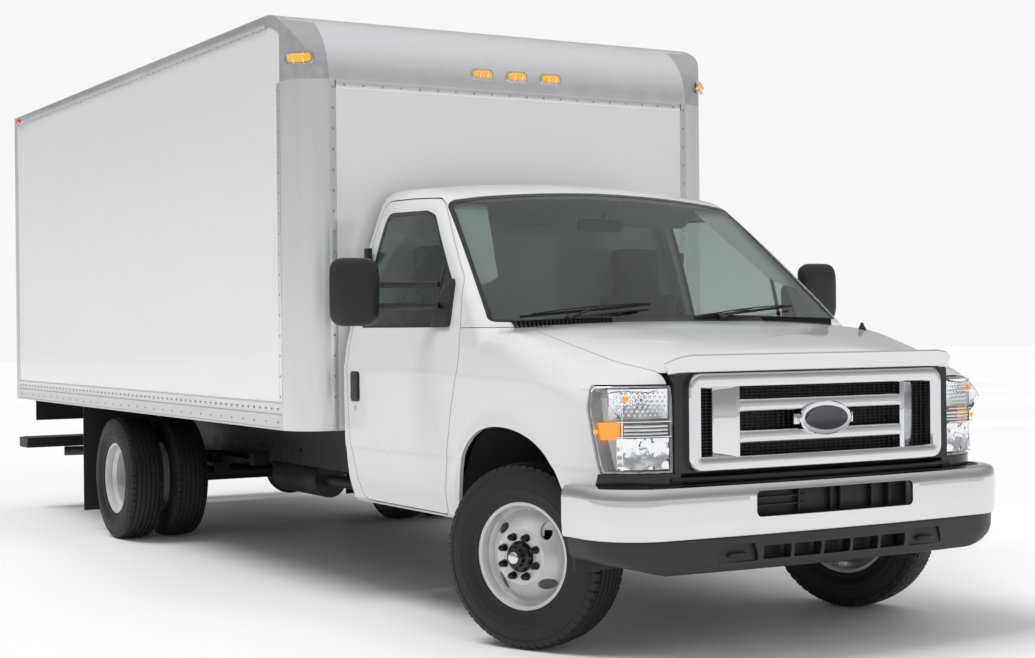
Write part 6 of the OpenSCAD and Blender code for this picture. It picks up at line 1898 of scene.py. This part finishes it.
        # Rear-view mirror and sun visors
        piece("cabin_mirror",
              [extruded(rounded([(-0.125, 1.722), (0.125, 1.722), (0.115, 1.782), (-0.115, 1.782)], 0.02,
                                5), 0.775, 0.800, "y"),
               rod((0, 0.782, 1.765), (0, 0.735, 1.812), 0.010, 16, 0.002)], F["black plastic"], "chassis",
              bevel=0.004)
        visors = []
        for sign in (-1, 1):
            slab = pad((0.46, 0.020, 0.135), (sign * 0.38, 0.905, 1.815), 0.009)
            visors.append(tilted(slab, (sign * 0.38, 0.905, 1.815), -38))
        piece("sun_visors", visors, F["headliner"], "chassis", 50)
        # Grab handles on the windshield pillars, and door armrests
        for sign, side in SIDES:
            loop = []
            for t in np.linspace(0, 2 * math.pi, 40, endpoint=False):
                v = 0.62 + 0.105 * math.cos(t)
                u = 0.790 + 0.028 * math.sin(t) - 0.16 * (v - 0.62)
                base = Vector((0, 0.06, 1.29)) + Vector((sign * u, 0, 0)) + SLOPE * v - RISE * 0.105
                loop.append(tuple(base))
            piece("pillar_grab_handle_" + side, [swept(loop, round_bar(0.024, 0.020, 0.009), closed=True,
                                                       up=(0, -0.637, 0.771))], F["grey plastic"], "chassis",
                  50)
            body = "door_" + side
            x = sign * 0.925
            rest_parts = [pad((0.075, 0.40, 0.060), (x, 1.02, 1.010), 0.03),
                          swept([(x, 0.66, 1.185), (x, 1.0, 1.195), (x, 1.34, 1.190)],
                                round_bar(0.040, 0.030, 0.012))]
            piece("door_armrest_" + side, rest_parts, F["grey plastic"], body, 50)
        return {"FINISHED"}


def topped(material, below):
    """Keep a finish's colour on faces that look up, with another colour on every other face."""
    n, link = material.node_tree.nodes, material.node_tree.links
    shader = n["Principled BSDF"]
    colour = shader.inputs["Base Color"].links[0].from_socket
    geometry, split = n.new("ShaderNodeNewGeometry"), n.new("ShaderNodeSeparateXYZ")
    link.new(geometry.outputs["Normal"], split.inputs["Vector"])
    above = n.new("ShaderNodeMath")
    above.operation = "GREATER_THAN"
    above.inputs[1].default_value = 0.5
    link.new(split.outputs["Z"], above.inputs[0])
    blend = n.new("ShaderNodeMix")
    blend.data_type = "RGBA"
    link.new(above.outputs[0], blend.inputs[0])
    blend.inputs[6].default_value = (*below, 1)
    link.new(colour, blend.inputs[7])
    link.new(blend.outputs[2], shader.inputs["Base Color"])


class TRUCK_OT_frame_finish(bpy.types.Operator):
    """Give every CAD node that still shows its finish, and add the chassis details"""

    bl_idname = "truck.frame_finish"
    bl_label = "Frame finishes"

    def execute(self, context):
        looks = {
            "chassis_frame": "chassis black", "engine_block": "cast iron", "radiator": "black plastic",
            "fuel_tank": "black plastic", "exhaust_system": "exhaust steel", "drive_shaft": "cast iron",
            "front_axle_beams": "chassis black", "rear_axle": "chassis black",
            "rear_leaf_springs": "cast iron",
            "knuckle_right": "cast iron", "knuckle_left": "cast iron", "tie_rod": "cast iron",
            "cab_floor": "carpet",
            "box_floor": "floor wood", "box_side_right": "box white", "box_side_left": "box white",
            "box_roof": "roof sheet", "box_front_wall": "box white", "box_corner_sheets": "bright aluminium",
            "box_corner_caps": "cast aluminium", "box_rails": "mill aluminium",
            "rear_door_frame": "frame aluminium",
            "rear_door": "door white", "step_bumper": "chassis black", "mudflaps": "rubber",
        }
        for name, node in frame["nodes"].items():
            look = looks.get(name, "chassis black")
            node.data.materials.clear()
            node.data.materials.append(F[look])
        topped(F["floor wood"], (0.02, 0.02, 0.02))
        # Bolts along the frame rails and the spring clamps
        x = 0.432
        bolts = []
        for sign in (-1, 1):
            for y in (-0.30, 0.22, 0.30, 1.30, 1.38, 2.30, 2.38, 3.30, 3.82, 3.90, 5.05, 5.13, 5.90):
                bolts.append(turned([(1e-4, 0), (0.013, 0), (0.013, 0.008), (0.010, 0.011), (1e-4, 0.011)], 6,
                                    (sign * (x + 0.0005), y, 0.575), (sign, 0, 0)))
        piece("frame_bolts", bolts, F["cast iron"], "chassis", 25)
        # Coil springs round the front axle's spring posts
        coils = []
        for sign in (-1, 1):
            turns = np.linspace(0, 2 * math.pi * 5.5, 150)
            reach, z0, z1 = 0.068, 0.412, 0.628
            coils.append(swept([(sign * 0.500 + reach * math.cos(t), reach * math.sin(t),
                                 z0 + (z1 - z0) * t / turns[-1])
                                for t in turns], round_bar(0.016, 0.016, 0.007, 2), up=(0, 0, 1)))
        piece("front_coil_springs", coils, F["cast iron"], "chassis", 50)
        # Spring clips and U bolts over the rear axle
        clips = []
        wheelbase = joint("spin_rear_right")["pos_m"][1] - AXLE
        spring_low, spring_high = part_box("rear_leaf_springs")
        xs = spring_high.x - 0.035
        for sign in (-1, 1):
            for dy in (-0.075, 0.075):
                for dx in (-0.040, 0.040):
                    clips.append(rod((sign * xs + dx, wheelbase + dy, spring_low.z),
                                     (sign * xs + dx, wheelbase + dy,
                                     spring_high.z + 0.012), 0.008, 12, 0.001))
            clips.append(block((sign * xs - 0.055, wheelbase - 0.095, spring_high.z), (sign * xs + 0.055,
                               wheelbase + 0.095, spring_high.z + 0.012), 0.0))
        piece("rear_spring_clamps", clips, F["cast iron"], "chassis", bevel=0.001)
        return {"FINISHED"}


class TRUCK_PT_panel(bpy.types.Panel):
    """The box truck's sizes and steps"""

    bl_idname = "TRUCK_PT_panel"
    bl_label = "Box Truck"
    bl_space_type = "VIEW_3D"
    bl_region_type = "UI"
    bl_category = "Box Truck"

    def draw(self, context):
        for group in (context.scene.truck_cab, context.scene.truck_wheels, context.scene.truck_stage):
            for name in group.__annotations__:
                self.layout.prop(group, name)
        for step in STEPS:
            self.layout.operator(step.bl_idname)


STEPS = [TRUCK_OT_cab, TRUCK_OT_headlights, TRUCK_OT_grille, TRUCK_OT_bumper, TRUCK_OT_wheels,
         TRUCK_OT_fittings, TRUCK_OT_body, TRUCK_OT_cabin, TRUCK_OT_frame_finish, TRUCK_OT_stage]
CLASSES = [CabSizes, WheelSizes, StageSizes, *STEPS, TRUCK_PT_panel]


def register():
    for item in CLASSES:
        bpy.utils.register_class(item)
    bpy.types.Scene.truck_cab = PointerProperty(type=CabSizes)
    bpy.types.Scene.truck_wheels = PointerProperty(type=WheelSizes)
    bpy.types.Scene.truck_stage = PointerProperty(type=StageSizes)


def unregister():
    del bpy.types.Scene.truck_stage
    del bpy.types.Scene.truck_wheels
    del bpy.types.Scene.truck_cab
    for item in reversed(CLASSES):
        bpy.utils.unregister_class(item)


def main():
    """Builds every piece in order."""
    register()
    F.update(make_finishes(bpy.context.scene.truck_cab))
    for step in STEPS:
        group, name = step.bl_idname.split(".")
        getattr(getattr(bpy.ops, group), name)()


if __name__ == "__main__":
    main()
